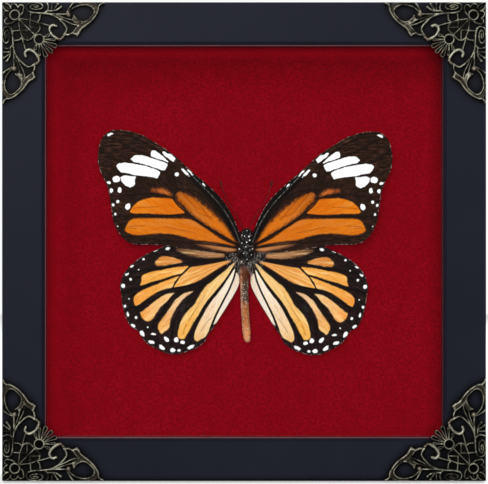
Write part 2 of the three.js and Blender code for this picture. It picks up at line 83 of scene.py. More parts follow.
# ---- Light and floor ----
# A large soft light from above and to the left, a broad fill from the front, a soft one on the back, and a
# pale room. The front fill and the room are left out of reflections or nearly so, so that the glass and the
# lacquer stay clear. The floor glows a little, as white paper does in such a room.
ROOM_SEEN, ROOM_FILL, ROOM_REFLECTED = 0.97, 0.28, 0.02
TARGET = (0.0, 0.0, 0.064)
SOFTBOXES = {
    "Key light": {"at": (-0.3, -0.95, 0.62), "wide": 0.7, "tall": 0.7, "watts": 6.2},
    "Front fill": {"at": (0.05, -1.2, 0.11), "wide": 0.5, "tall": 0.2, "watts": 10.9},
    "Back fill": {"at": (0.5, 0.9, 0.6), "wide": 0.5, "tall": 0.5, "watts": 9.0},
}
for name, box in SOFTBOXES.items():
    lamp = bpy.data.lights.new(name, "AREA")
    lamp.shape, lamp.size, lamp.size_y, lamp.energy = "RECTANGLE", box["wide"], box["tall"], box["watts"]
    light = bpy.data.objects.new(name, lamp)
    light.location = box["at"]
    light.rotation_euler = (Vector(TARGET) - Vector(box["at"])).to_track_quat("-Z", "Y").to_euler()
    light.visible_transmission = False
    light.visible_glossy = name != "Front fill"
    bpy.context.collection.objects.link(light)

room = bpy.data.worlds.new("Room")
bpy.context.scene.world = room
room.use_nodes = True
air = room.node_tree
light_path = air.nodes.new("ShaderNodeLightPath")
strength = ROOM_FILL
for ray, value in (("Is Glossy Ray", ROOM_REFLECTED), ("Is Camera Ray", ROOM_SEEN)):
    choice = air.nodes.new("ShaderNodeMix")
    air.links.new(light_path.outputs[ray], choice.inputs["Factor"])
    if isinstance(strength, float):
        choice.inputs["A"].default_value = strength
    else:
        air.links.new(strength, choice.inputs["A"])
    choice.inputs["B"].default_value = value
    strength = choice.outputs["Result"]
air.nodes["Background"].inputs["Color"].default_value = (1, 1, 1, 1)
air.links.new(strength, air.nodes["Background"].inputs["Strength"])


def linear(red, green, blue):
    """A colour named by its 0 to 255 screen values, as a shader takes it."""
    parts = np.array([red, green, blue]) / 255
    parts = np.where(parts <= 0.04045, parts / 12.92, ((parts + 0.055) / 1.055) ** 2.4)
    return (*(float(p) for p in parts), 1.0)


class Finish:
    """A finish in the making: its material, its shader and the nodes that feed it."""

    def __init__(self, name, **sockets):
        self.material = bpy.data.materials.new(name)
        self.material.use_nodes = True
        self.tree = self.material.node_tree
        self.shader = self.tree.nodes["Principled BSDF"]
        self.set(**sockets)

    def set(self, **sockets):
        """Feeds the shader's sockets, which are named with _ for a space."""
        for name, value in sockets.items():
            self.feed(self.shader.inputs[name.replace("_", " ")], value)

    def feed(self, socket, value):
        if isinstance(value, bpy.types.NodeSocket):
            self.tree.links.new(value, socket)
        else:
            socket.default_value = value

    def add(self, kind, inputs, out=0, **settings):
        node = self.tree.nodes.new("ShaderNode" + kind)
        for name, value in settings.items():
            setattr(node, name, value)
        for key, value in inputs.items():
            self.feed(node.inputs[key], value)
        return node.outputs[out]

    def place(self, stretch=(1, 1, 1)):
        """Where a point of the piece is, in metres, stretched for a pattern with a lie."""
        here = self.add("TexCoord", {}, out="Object")
        return here if stretch == (1, 1, 1) else self.add("Mapping", {"Vector": here, "Scale": stretch})

    def parts(self):
        """The x, y and z of a point of the piece, in metres."""
        return self.add("SeparateXYZ", {0: self.place()}).node.outputs

    def attribute(self, name, out="Fac"):
        return self.add("Attribute", {}, out=out, attribute_name=name)

    def noise(self, vector, scale, detail=2.0, rough=0.5):
        return self.add("TexNoise", {"Vector": vector, "Scale": scale, "Detail": detail, "Roughness": rough})

    def between(self, value, low, high, start=0.0, end=1.0, smooth=True):
        """The value's place from low to high, as a number from start to end."""
        inputs = {"Value": value, "From Min": low, "From Max": high, "To Min": start, "To Max": end}
        return self.add("MapRange", inputs, interpolation_type="SMOOTHSTEP" if smooth else "LINEAR")

    def math(self, operation, *values):
        return self.add("Math", dict(enumerate(values)), operation=operation)

    def mix(self, factor, low, high, blend="MIX"):
        node = self.tree.nodes.new("ShaderNodeMix")
        node.data_type, node.blend_type = "RGBA", blend
        for key, value in ((0, factor), (6, low), (7, high)):
            self.feed(node.inputs[key], value)
        return node.outputs[2]

    def bump(self, height, distance, strength=1.0):
        return self.add("Bump", {"Height": height, "Distance": distance, "Strength": strength})


def dress(node, finish):
    """Gives a piece of the frame its finish."""
    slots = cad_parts[node].data.materials
    slots.clear()
    slots.append(finish.material)


FLOOR = {"size": 3.0, "below": 0.0004, "glow": 0.42}
floor_paint = Finish("Floor paint", Roughness=0.9, Specular_IOR_Level=0.1)
floor_paint.set(Emission_Color=(1, 1, 1, 1), Emission_Strength=FLOOR["glow"])
floor_tone = floor_paint.noise(floor_paint.place(), 9.0, 4.0)
floor_paint.set(Base_Color=floor_paint.mix(floor_tone, linear(243, 243, 242), linear(249, 249, 248)))
bpy.ops.mesh.primitive_plane_add(size=FLOOR["size"], location=(0, 0, -FLOOR["below"]))
floor = bpy.context.object
floor.name = "Floor"
floor.data.materials.append(floor_paint.material)
floor.visible_glossy = floor.visible_transmission = False

# ---- Rails ----
# Four mitred rails of fine fibreboard, sprayed with a satin blue-black lacquer. The narrow inner wall of the
# lip was cut after spraying and shows the bare board; its pink is painted light from the velvet below, and
# the right wall is painted darker as shade.
SIGHT = {"half_width": 53.6, "half_height": 52.9, "play": 0.05, "from": 2.4, "to": 5.05, "painted_shade_from": 50}
PAINTED_SHADE_REACH = 2.4  # of the painted shade round what stands on the face
lacquer = Finish("Satin blue-black lacquer", Roughness=0.42, Specular_IOR_Level=0.15)
spray = lacquer.noise(lacquer.place(), 420.0, 3.0)
cloud = lacquer.noise(lacquer.place(), 28.0, 3.0)
coat = lacquer.mix(cloud, linear(16, 18, 26), linear(22, 24, 35))
# painted shade: the coat turns near black in the corners where something stands on the face
open_air = lacquer.add("AmbientOcclusion", {"Distance": PAINTED_SHADE_REACH * MM}, out="AO", samples=8)
coat = lacquer.mix(lacquer.between(open_air, 0.6, 1.0), linear(4, 4, 5), coat)
on_rail = lacquer.parts()
from_side = lacquer.math("SUBTRACT", lacquer.math("ABSOLUTE", on_rail["X"]), SIGHT["half_width"] * MM)
off_middle = lacquer.math("ABSOLUTE", lacquer.math("SUBTRACT", on_rail["Z"], MIDDLE * MM))
from_top = lacquer.math("SUBTRACT", off_middle, SIGHT["half_height"] * MM)
within = lacquer.math("LESS_THAN", lacquer.math("MAXIMUM", from_side, from_top), SIGHT["play"] * MM)
below = lacquer.math("GREATER_THAN", on_rail["Y"], (FACE + SIGHT["from"]) * MM)
above = lacquer.math("LESS_THAN", on_rail["Y"], (FACE + SIGHT["to"]) * MM)
bare = lacquer.math("MULTIPLY", within, lacquer.math("MULTIPLY", below, above))
# the lip wall's bare board, its pink painted light from the velvet below
board = lacquer.mix(spray, linear(150, 98, 108), linear(184, 130, 138))
# painted shade: the right lip wall is made darker, against the key light that falls on it
painted_shade_right = lacquer.math("GREATER_THAN", on_rail["X"], SIGHT["painted_shade_from"] * MM)
board = lacquer.mix(painted_shade_right, board, linear(104, 58, 68))
lacquer.set(
    Base_Color=lacquer.mix(bare, coat, board),
    Roughness=lacquer.between(spray, 0.3, 0.7, 0.38, 0.5),
    Normal=lacquer.bump(spray, 0.03 * MM, 0.35),
)
for side in ("bottom", "right", "top", "left"):
    dress(f"rail_{side}", lacquer)

# ---- Glass ----
# A pane of clear picture glass behind the lip, with a faint green cast.
glass = Finish("Picture glass", Roughness=0.0, IOR=1.45, Transmission_Weight=1.0, Specular_IOR_Level=0.2)
streak = glass.noise(glass.place((1, 1, 0.2)), 30.0)
glass.set(Base_Color=glass.mix(streak, (0.985, 0.995, 0.99, 1), (1, 1, 1, 1)))
dress("glass_pane", glass)
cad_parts["glass_pane"].visible_shadow = False

# ---- Box behind the glass ----
# Black card spacers keep the glass off the velvet. A grey board carries the velvet, and a hardboard back is
# held by steel framing points pushed into the rails.
black_card = Finish("Black spacer card", Roughness=0.85)
fibre = black_card.noise(black_card.place((1, 0.3, 1)), 2600.0, 3.0)
black_card.set(
    Base_Color=black_card.mix(fibre, linear(22, 20, 22), linear(44, 38, 40)),
    Normal=black_card.bump(fibre, 0.04 * MM),
)
mount_card = Finish("Grey mount board", Roughness=0.95)
fleck = mount_card.noise(mount_card.place(), 1500.0, 4.0, 0.7)
mount_card.set(
    Base_Color=mount_card.mix(
        mount_card.between(fleck, 0.35, 0.7), linear(112, 107, 98), linear(160, 155, 146)
    ),
    Normal=mount_card.bump(fleck, 0.05 * MM),
)
hardboard = Finish("Hardboard", Roughness=0.8)
sliver = hardboard.noise(hardboard.place((1, 1, 0.35)), 900.0, 5.0, 0.7)
blotch = hardboard.noise(hardboard.place(), 45.0, 3.0)
tan = hardboard.mix(hardboard.between(sliver, 0.3, 0.75), linear(84, 58, 38), linear(133, 98, 66))
hardboard.set(
    Base_Color=hardboard.mix(blotch, tan, linear(104, 74, 50)),
    Normal=hardboard.bump(sliver, 0.08 * MM),
)
steel = Finish("Blued steel", Metallic=0.55)
rolled = steel.noise(steel.place((1, 1, 0.1)), 3000.0, 3.0)
steel.set(
    Base_Color=steel.mix(rolled, linear(120, 122, 126), linear(170, 172, 175)),
    Roughness=steel.between(rolled, 0.3, 0.7, 0.28, 0.42),
)
for side in ("bottom", "right", "top", "left"):
    dress(f"spacer_{side}", black_card)
    for end in ("a", "b"):
        dress(f"framing_point_{side}_{end}", steel)
dress("mount_board", mount_card)
dress("back_board", hardboard)

# ---- Hanger ----
# A stamped sawtooth strip of brassed steel, nailed to the back of the top rail with two round-headed nails.
brassed = Finish("Brassed steel", Metallic=0.6)
tarnish = brassed.noise(brassed.place(), 900.0, 4.0, 0.65)
brassed.set(
    Base_Color=brassed.mix(brassed.between(tarnish, 0.35, 0.75), linear(196, 158, 92), linear(122, 96, 58)),
    Roughness=brassed.between(tarnish, 0.3, 0.8, 0.26, 0.5),
)
dress("sawtooth_hanger", brassed)
for side in ("left", "right"):
    dress(f"hanger_nail_{side}", steel)

# ---- Velvet ----
# One piece of crimson velvet, stretched flat over the mount board. The pile is short and dense and lies every
# way, so it looks finely grained, and its nap wanders by a few hundredths of a millimetre.
VELVET = {
    "cells": 150,
    "edge": 0.3,
    "nap": 0.035,
    "seed": 11,
    # where light is painted on the pile beside the lips that shade it: from and to, above the middle and to
    # the right of it, and how much
    "painted_light_top": (49, 53, 1.0),
    "painted_light_left": (-47, -53.2, 0.65),
}


def wandering(shape, spread, seed):
    """A smooth random field from about -1 to 1, whose bumps are spread grid steps across."""
    rough = np.random.default_rng(seed).normal(size=shape)
    tall, wide = (np.fft.fftfreq(n) for n in shape)
    soften = np.exp(-2 * (math.pi * spread) ** 2 * (tall[:, None] ** 2 + wide[None, :] ** 2))
    smooth = np.fft.ifft2(np.fft.fft2(rough) * soften).real
    return smooth / np.abs(smooth).max()


def mesh_of(name, points, polygons, angle=40):
    """A mesh object of points in metres and arrays of polygons with the same number of corners each."""
    mesh = bpy.data.meshes.new(name)
    mesh.vertices.add(len(points))
    mesh.vertices.foreach_set("co", np.ascontiguousarray(points, np.float32).ravel())
    corners = np.concatenate([p.ravel() for p in polygons])
    sizes = np.concatenate([np.full(len(p), p.shape[1]) for p in polygons])
    mesh.loops.add(len(corners))
    mesh.loops.foreach_set("vertex_index", corners.astype(np.int32))
    mesh.polygons.add(len(sizes))
    mesh.polygons.foreach_set("loop_start", np.concatenate([[0], np.cumsum(sizes)[:-1]]).astype(np.int32))
    mesh.update(calc_edges=True)
    mesh.validate()
    mesh.shade_smooth()
    mesh.set_sharp_from_angle(angle=math.radians(angle))
    made = bpy.data.objects.new(name, mesh)
    bpy.context.collection.objects.link(made)
    return made


def plate_of(name, front, back, polygons, rim, **facts):
    """A closed plate between a front and a back layer of the same points; rim edges run with the plate on
    their left. Each fact is kept as an attribute of the points."""
    count = len(front)
    start, end = rim.T
    walls = np.stack([end, start, start + count, end + count], axis=1)
    faces = [*polygons, *(p[:, ::-1] + count for p in polygons), walls]
    made = mesh_of(name, np.concatenate([front, back]), faces)
    for fact, values in facts.items():
        kind, key = (("FLOAT", "value"), ("FLOAT_VECTOR", "vector"))[values.ndim - 1]
        layer = made.data.attributes.new(fact, kind, "POINT")
        layer.data.foreach_set(key, np.concatenate([values, values]).astype(np.float32).ravel())
    return made


def square_grid(columns, rows):
    """The quads of a grid of points and the edges of its rim, anticlockwise."""
    number = np.arange(columns * rows).reshape(rows, columns)
    quads = np.stack([number[:-1, :-1], number[:-1, 1:], number[1:, 1:], number[1:, :-1]], axis=-1)
    round_rim = np.concatenate([number[0, :-1], number[:-1, -1], number[-1, :0:-1], number[:0:-1, 0]])
    return quads.reshape(-1, 4), np.stack([round_rim, np.roll(round_rim, -1)], axis=1)


def stand_for(made, node, finish=None):
    """Puts a finished mesh in the place of a piece of the frame."""
    if finish:
        made.data.materials.append(finish.material)
    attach(made, "root")
    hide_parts(node)


pile_low, pile_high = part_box("red_velvet")
steps = VELVET["cells"] + 1
velvet_x, velvet_y = np.meshgrid(
    np.linspace(pile_low.x, pile_high.x, steps) / MM,
    np.linspace(pile_low.z, pile_high.z, steps) / MM - MIDDLE,
)
half_pile = (pile_high.z - pile_low.z) / 2 / MM
to_edge = np.minimum(pile_high.x / MM - np.abs(velvet_x), half_pile - np.abs(velvet_y))
turned_in = VELVET["edge"] * (1 - np.clip(to_edge / VELVET["edge"], 0, 1)) ** 2
nap = VELVET["nap"] * (1 + wandering(velvet_x.shape, 2.5, VELVET["seed"]))
velvet_top = pile_low.y / MM - FACE + turned_in + nap
velvet_front = np.stack([velvet_x, FACE + velvet_top, MIDDLE + velvet_y], axis=-1).reshape(-1, 3) * MM
velvet_back = velvet_front.copy()
velvet_back[:, 1] = pile_high.y
quads, rim = square_grid(steps, steps)
velvet = plate_of("velvet", velvet_front, velvet_back, [quads], rim)

plush = Finish("Crimson velvet", Roughness=1.0, Specular_IOR_Level=0.0)
plush.set(Sheen_Weight=0.2, Sheen_Roughness=0.5, Sheen_Tint=linear(200, 24, 40))
tuft = plush.noise(plush.place(), 1500.0, 2.0, 0.6)
brushed = plush.noise(plush.place(), 320.0, 3.0, 0.6)
lie = plush.noise(plush.place(), 38.0, 2.0)
deep, bright = linear(107, 3, 14), linear(139, 6, 23)
grain = plush.mix(plush.between(tuft, 0.3, 0.7), deep, bright)
grain = plush.mix(plush.between(brushed, 0.35, 0.65, 0.0, 0.45), grain, linear(108, 4, 13))
grain = plush.mix(plush.between(lie, 0.35, 0.65, 0.0, 0.3), grain, linear(112, 4, 14))
# painted light: the pile is made brighter near the top and left lips, to offset the shade that they cast
on_pile = plush.parts()
begin, full, light_share = VELVET["painted_light_top"]
near_top = plush.between(on_pile["Z"], (MIDDLE + begin) * MM, (MIDDLE + full) * MM, 0.0, light_share)
begin, full, light_share = VELVET["painted_light_left"]
near_left = plush.between(on_pile["X"], begin * MM, full * MM, 0.0, light_share)
painted_lip_light = plush.math("MAXIMUM", near_top, near_left)
plush.set(
    Base_Color=plush.mix(plush.math("MULTIPLY", painted_lip_light, 0.36), grain, linear(178, 8, 30)),
    Normal=plush.bump(tuft, 0.12 * MM, 0.6),
)
stand_for(velvet, "red_velvet", plush)

# ---- Corner castings ----
# Four openwork corners of cast zinc alloy, plated in antique bronze: round-topped strands, a five-petalled
# flower in the corner, a fan of petals over the sight edge and a leaf between them. Dark patina stays in the
# hollows and the high parts are rubbed bright. Each lies flat on the rails' face. Points are measured from
# the frame's two edges, on the half of the pattern along one of them; the other half mirrors it.
CASTING = {"reach": 27.4, "step": 0.09, "stand": 0.1, "web": 0.35, "pits": 0.06, "cast": 1.03}
FINE, CORD, VEIN, RIB = 0.19, 0.26, 0.13, 0.16  # half widths of the strands
LEAF_EDGE = [[4.4, 4.7], [4.55, 6], [4.7, 7.2], [5.05, 8.35], [5.5, 9.35], [6.2, 9.9], [6.95, 10], [7.7, 9.6]]
# the loop: the two lines of its outer rim, and the line round its opening
RIM_OUTER = [
    [7.9, 20.1], [7, 20.7], [6.3, 21.6], [5.5, 22.7], [4.4, 23.8], [3.15, 24.7], [2, 25.2], [1.2, 25.25],
    [0.7, 25.7], [0.35, 26.4],
]
RIM_INNER = [[8, 18.6], [7, 19.3], [6.1, 20.1], [5.5, 21], [5.15, 21.8]]
OPENING = [
    [2.6, 17.6], [1.6, 18.7], [1.05, 19.9], [0.8, 21.2], [0.85, 22.4], [1.35, 23.5], [2.1, 24.1], [3, 24.05],
    [3.85, 23.4], [4.6, 22.65], [5.15, 21.8], [5.2, 20.9], [4.8, 19.9], [4.2, 19.2], [3.6, 18.8],
]
# each strand: half width, how proud its top stands, and its path
STRANDS = [
    # the stem along the leg, and the spiral it grows from
    (CORD, 0.85, [[2.45, 6.9], [2.8, 8.1], [2.9, 9.6], [3, 11.2], [3.15, 12.8], [3.2, 14.6], [3.2, 16.8]]),
    (FINE, 0.8, [
        [2.45, 6.9], [1.9, 6.5], [1.2, 6.5], [0.55, 6.95], [0.3, 8], [0.3, 9.4], [0.6, 10.35], [1.2, 10.75],
        [1.75, 10.3], [1.95, 9.4], [1.85, 8.1], [1.35, 7.4], [0.9, 7.8], [0.85, 8.7], [1.1, 9.6], [1.4, 9.2],
        [1.3, 8.3]]),
    # the four-fingered sprig
    (CORD, 0.75, [[3, 11.2], [2.35, 11.9], [2.35, 13.2], [2.1, 14.3], [1.35, 15.4]]),
    (FINE, 0.8, [[2.3, 12], [1.3, 12.15], [0.35, 11.8]]),
    (FINE, 0.7, [[2.3, 13.05], [0.35, 13.1]]),
    (FINE, 0.85, [[2.1, 13.5], [1.3, 14.1], [0.55, 14.6]]),
    # the links to the leaf and the scroll
    (FINE, 0.8, [[2.8, 7.6], [4.65, 7.45]]),
    (FINE, 1.05, [[3.55, 10.05], [4.6, 9.9], [5.2, 9.4]]),
    (FINE, 0.95, [[5.4, 9.5], [5.75, 10.9], [6.2, 12.4]]),
    # the strand to the scroll, and the scroll with its lobes
    (CORD, 0.95, [
        [3.15, 12.4], [3.6, 13.6], [4.2, 14.65], [5.1, 15.6], [6.1, 16.5], [7, 16.95], [7.8, 16.75],
        [8.55, 16.2]]),
    (0.42, 1.1, [
        [6.3, 14.2], [6.05, 13.35], [6.5, 12.7], [7.2, 12.45], [8, 12.75], [8.8, 13.35], [9.3, 14.1],
        [9.65, 14.7]]),
    (CORD, 0.9, [[9.65, 14.7], [9.7, 15.4], [9.1, 16.05], [8.4, 16.4]]),
    # two leaf strands
    (FINE, 0.75, [[4, 14.4], [4.9, 16.5], [5.6, 17.9], [6, 19.2], [6.1, 20.1]]),
    (FINE, 0.65, [[3.4, 14.2], [4, 15.8], [4.45, 17.3], [4.75, 18.4], [5.35, 19.1], [5.75, 20]]),
    # the link to the loop, the nose, and the loop
    (CORD, 0.9, [[8.5, 16.4], [8.55, 17.5], [8.1, 18.5]]),
    (0.3, 1.1, [[8.1, 18.5], [8.4, 19.25], [8.3, 19.9], [7.8, 20.2]]),
    (CORD, 0.9, RIM_OUTER),
    (FINE, 0.8, RIM_INNER),
    (FINE, 0.85, OPENING),
    # the line along the frame's edge and the one from the bead to the edge
    (RIB, 0.6, [[0.3, 20], [0.28, 23], [0.6, 24.4], [1.2, 25.1]]),
    (CORD, 0.75, [[3.2, 16.9], [2.1, 17.4], [1.15, 17.9], [0.3, 18.6]]),
    # half of the leaf in the corner: its edge and two ribs
    (FINE, 0.8, [*LEAF_EDGE, [8.4, 8.8]]),
    (RIB, 0.7, [[4.8, 7.4], [6.6, 7.4]]),
    (RIB, 0.7, [[6.6, 7.4], [6.65, 9.8]]),
    # half of the flower: its three petals' edges, and a vein in each
    (FINE, 0.8, [[1.45, 4.3], [0.85, 4.75], [0.85, 5.35], [1.3, 5.75], [2.1, 5.65], [2.8, 5.45], [3.4, 5]]),
    (FINE, 0.8, [[1.45, 4.3], [0.9, 3.9], [0.55, 3.4], [0.6, 2.9], [0.9, 2.45], [1.7, 2.4]]),
    (FINE, 0.8, [[1.7, 2.4], [1, 2.1], [0.55, 1.6], [0.3, 0.9]]),
    (VEIN, 0.4, [[1.3, 5.1], [2.2, 4.6]]),
    (VEIN, 0.4, [[1.1, 3.3], [2.1, 3.4]]),
    (VEIN, 0.4, [[1, 1], [2.2, 2.2]]),
]
MIDRIB = (FINE, 0.8, [[4.5, 4.5], [8.7, 8.7]])
# solid webs, sunk below the strands: how proud, how coppery, and the outline
WEBS = [
    (0.12, 0.0, [
        [0.2, 0.2], [0.3, 0.9], [1, 2.1], [0.9, 2.45], [0.6, 2.9], [0.55, 3.4], [0.9, 3.9], [1.4, 4.3],
        [0.85, 4.8], [0.85, 5.35], [1.3, 5.75], [2.1, 5.65], [3.4, 5], [4.5, 4.5], [4.5, 4], [2, 0.9],
        [0.9, 0.3]]),
    (0.22, 0.0, [*LEAF_EDGE, [8.7, 8.6], [4.6, 4.4]]),
    (0.34, 0.1, [
        *RIM_INNER, *OPENING[9:2:-1], [0.3, 20.4], [0.28, 23], [0.6, 24.4], [1.2, 25.2], *RIM_OUTER[6::-1],
        [8.4, 19.3]]),
    (0.5, 0.1, [[3.6, 18.8], [4.6, 18.3], [5.35, 19.1], [5.75, 20], [5.2, 20.9], [4.8, 19.9], [4.2, 19.2]]),
]
PROUDEST, BEAD_TOP = 1.15, 1.1
# beads: middle, radius, how coppery
BEADS = [
    ((3.3, 17.4), 0.68, 0.45), ((8.6, 19.6), 0.42, 0.2), ((9.6, 14.4), 0.36, 0.3), ((9.75, 15.3), 0.42, 0.3),
    ((9.15, 16), 0.42, 0.5), ((1.35, 15.4), 0.36, 0.0), ((0.55, 14.6), 0.32, 0.0), ((3.55, 10.05), 0.26, 0.0),
    ((3.65, 18.85), 0.26, 0.0),
]
RINGS = {"flower": 3.42, "fan": 9.75}  # how far each eye's middle is from both edges
RING = {"radius": 1.24, "half": 0.23}
PETAL = {"root": 0.2, "floor": 0.2, "rim": 1.05, "rim_in": 0.19, "rim_wide": 0.14}
# each petal of the fan: its turn from the diagonal in degrees, its reach and the half width of its round end
FAN = [(0, 5.0, 0.62), (22.5, 5.1, 0.68), (43, 4.4, 0.42), (68, 3.2, 0.5)]
OUTSIDE = -9.0  # well outside of any outline


def smooth_path(points, spacing=0.2, closed=False):
    """A path through the points, rounded as a bent wire is."""
    points = np.asarray(points, float)
    if closed:
        points = np.concatenate([points[-1:], points, points[:2]])
    elif len(points) > 2:
        points = np.concatenate([2 * points[:1] - points[1:2], points, 2 * points[-1:] - points[-2:-1]])
    else:
        return points
    bends = []
    for p, q, r, s in zip(points[:-3], points[1:-2], points[2:-1], points[3:]):
        t = np.linspace(0, 1, max(2, round(np.linalg.norm(r - q) / spacing) + 1))[:-1, None]
        knot = np.sqrt(np.maximum(np.linalg.norm([q - p, r - q, s - r], axis=1), 1e-6))
        leave = ((q - p) / knot[0] - (r - p) / (knot[0] + knot[1]) + (r - q) / knot[1]) * knot[1]
        arrive = ((r - q) / knot[1] - (s - q) / (knot[1] + knot[2]) + (s - r) / knot[2]) * knot[1]
        bends.append(
            (2 * t**3 - 3 * t**2 + 1) * q + (t**3 - 2 * t**2 + t) * leave
            + (3 * t**2 - 2 * t**3) * r + (t**3 - t**2) * arrive
        )
    return np.concatenate(bends if closed else [*bends, points[-2:-1]])


def cut_sheet(inside):
    """Cuts a grid along the line where inside is zero. Returns what takes an array's values at the sheet's
    points, the polygons, and the edges of the rim, all anticlockwise."""
    kept = inside > 0
    grid = np.arange(inside.size).reshape(inside.shape)
    across, up = kept[:, :-1] != kept[:, 1:], kept[:-1] != kept[1:]
    counts = [kept.sum(), across.sum(), up.sum()]
    number, beside, over = (np.full(mask.shape, -1) for mask in (kept, across, up))
    number[kept] = np.arange(counts[0])
    beside[across] = counts[0] + np.arange(counts[1])
    over[up] = counts[0] + counts[1] + np.arange(counts[2])
    near = np.concatenate([grid[kept], grid[:, :-1][across], grid[:-1][up]])
    far = np.concatenate([grid[kept], grid[:, 1:][across], grid[1:][up]])
    gap = inside.flat[near] - inside.flat[far]
    part = np.clip(np.divide(inside.flat[near], gap, out=np.zeros(len(near)), where=gap != 0), 0.03, 0.97)
    part[: counts[0]] = 0

    def take(array):
        flat = array.reshape(inside.size, -1)
        values = flat[near] * (1 - part[:, None]) + flat[far] * part[:, None]
        return values.reshape(len(near), *array.shape[2:])

    corners = (number[:-1, :-1], number[:-1, 1:], number[1:, 1:], number[1:, :-1])
    sides = (beside[:-1], over[:, 1:], beside[1:], over[:, :-1])
    cell = np.stack([*corners, *sides], axis=-1)
    case = sum((corner >= 0) * 2**k for k, corner in enumerate(corners))
    polygons, rims = [], []
    for kind in range(1, 16):
        held = [kind >> k & 1 for k in range(4)]
        walk = []
        for k in range(4):
            walk += [k] * held[k] + [4 + k] * (held[k] != held[(k + 1) % 4])
        made = cell[case == kind][:, walk]
        polygons.append(made)
        for k, place in enumerate(walk):
            if place > 3 and walk[(k + 1) % len(walk)] > 3:
                rims.append(made[:, [k, (k + 1) % len(walk)]])
    return take, [p for p in polygons if len(p)], np.concatenate(rims)


def reach_along(path, x, y, halves, room):
    """For each point the nearest place on a path: the distance, and the half width there, within some room
    of it."""
    distance, half = np.full(x.shape, -OUTSIDE), np.full(x.shape, 1.0)
    halves = np.interp(np.linspace(0, 1, len(path)), np.linspace(0, 1, len(halves)), halves)
    for k, ((ax, ay), (bx, by)) in enumerate(zip(path[:-1], path[1:])):
        near_x = (x[0] > min(ax, bx) - room) & (x[0] < max(ax, bx) + room)
        near_y = (y[:, 0] > min(ay, by) - room) & (y[:, 0] < max(ay, by) + room)
        if not near_x.any() or not near_y.any():
            continue
        columns, rows = np.flatnonzero(near_x), np.flatnonzero(near_y)
        window = (slice(rows[0], rows[-1] + 1), slice(columns[0], columns[-1] + 1))
        off_x, off_y = x[window] - ax, y[window] - ay
        long = (bx - ax) ** 2 + (by - ay) ** 2
        t = np.clip((off_x * (bx - ax) + off_y * (by - ay)) / long, 0, 1)
        apart = np.hypot(off_x - t * (bx - ax), off_y - t * (by - ay))
        closer = apart < distance[window]
        distance[window] = np.where(closer, apart, distance[window])
        half[window] = np.where(closer, halves[k] + t * (halves[k + 1] - halves[k]), half[window])
    return distance, half


def wide_within(outline, x, y, room):
    """How far each point lies inside a closed line, and up to some room outside it; negative outside."""
    distance, _ = reach_along(np.concatenate([outline, outline[:1]]), x, y, [1, 1], room)
    odd = np.zeros(x.shape, bool)
    for (ax, ay), (bx, by) in zip(outline, np.roll(outline, -1, axis=0)):
        if ay != by:
            odd ^= ((ay > y) != (by > y)) & (x < ax + (y - ay) * (bx - ax) / (by - ay))
    return np.where(odd, distance, -distance)


across = (np.arange(round(CASTING["reach"] / CASTING["step"])) + 0.5) * CASTING["step"]
casting_x, casting_y = np.meshgrid(across, across)
beyond = 3 * CASTING["step"]
room_inside = np.full(casting_x.shape, OUTSIDE)
lift = np.zeros(casting_x.shape)  # 0 in the hollows, 1 on top of a strand
glow = np.zeros(casting_x.shape)  # 1 on the coppery beads


def press(inside, rise, copper=0.0):
    """Adds a shape to the pattern: how far inside it each point is, and how proud it stands there."""
    room_inside[:] = np.maximum(room_inside, inside)
    lift[:] = np.where(inside > -CASTING["step"], np.maximum(lift, rise), lift)
    glow[:] = np.where(inside > 0, np.maximum(glow, copper), glow)


def dome(distance, half, proud):
    return proud * np.sqrt(np.clip(1 - (distance / half) ** 2, 0, 1))


for proud, copper, outline in WEBS:
    inside = wide_within(np.array(outline), casting_x, casting_y, 1.5)
    press(inside, proud, copper * np.clip(inside / 0.3, 0, 1))
for half, proud, strand in [*STRANDS, MIDRIB]:
    distance, _ = reach_along(smooth_path(strand), casting_x, casting_y, [1, 1], half + beyond)
    press(half - distance, dome(distance, half, proud))
for at, radius, copper in BEADS:
    distance = np.hypot(casting_x - at[0], casting_y - at[1])
    press(radius - distance, dome(distance, radius, BEAD_TOP), copper)
for turned, reach, half in FAN:
    # a raised line round a dark groove, wider towards its round end
    toward = math.radians(45 + turned)
    aim = np.array([math.cos(toward), math.sin(toward)])
    ends = RINGS["fan"] + aim * np.array([[RING["radius"]], [reach - half]])
    distance, wide = reach_along(ends, casting_x, casting_y, [PETAL["root"], half], half + beyond)
    inside = wide - distance
    hem = PETAL["rim"] * np.exp(-(((inside - PETAL["rim_in"]) / PETAL["rim_wide"]) ** 2))
    press(inside, np.where(inside > 0, np.maximum(hem, PETAL["floor"]), 0))
for at in RINGS.values():
    # a raised ring round a sunk eye
    ring = np.hypot(casting_x - at, casting_y - at) - RING["radius"]
    lift[ring < 0] = 0
    press(RING["half"] - ring, dome(ring, RING["half"], 1.0))
room_inside, lift, glow = (np.maximum(a, a.T) for a in (room_inside, lift, glow))
room_inside = np.minimum(room_inside, np.minimum(casting_x, casting_y) - 0.1)
lift += CASTING["pits"] * wandering(lift.shape, 2.0, 3) * (lift > 0.1)

take, polygons, rim = cut_sheet(room_inside)
casting_x, casting_y, lift, glow = (take(a) for a in (casting_x, casting_y, lift, glow))
thick = -(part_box("corner_ornament_top_left")[0].y / MM - FACE) - CASTING["stand"]
casting_top = CASTING["stand"] + CASTING["web"] + (thick - CASTING["web"]) * np.clip(lift / PROUDEST, 0, 1)

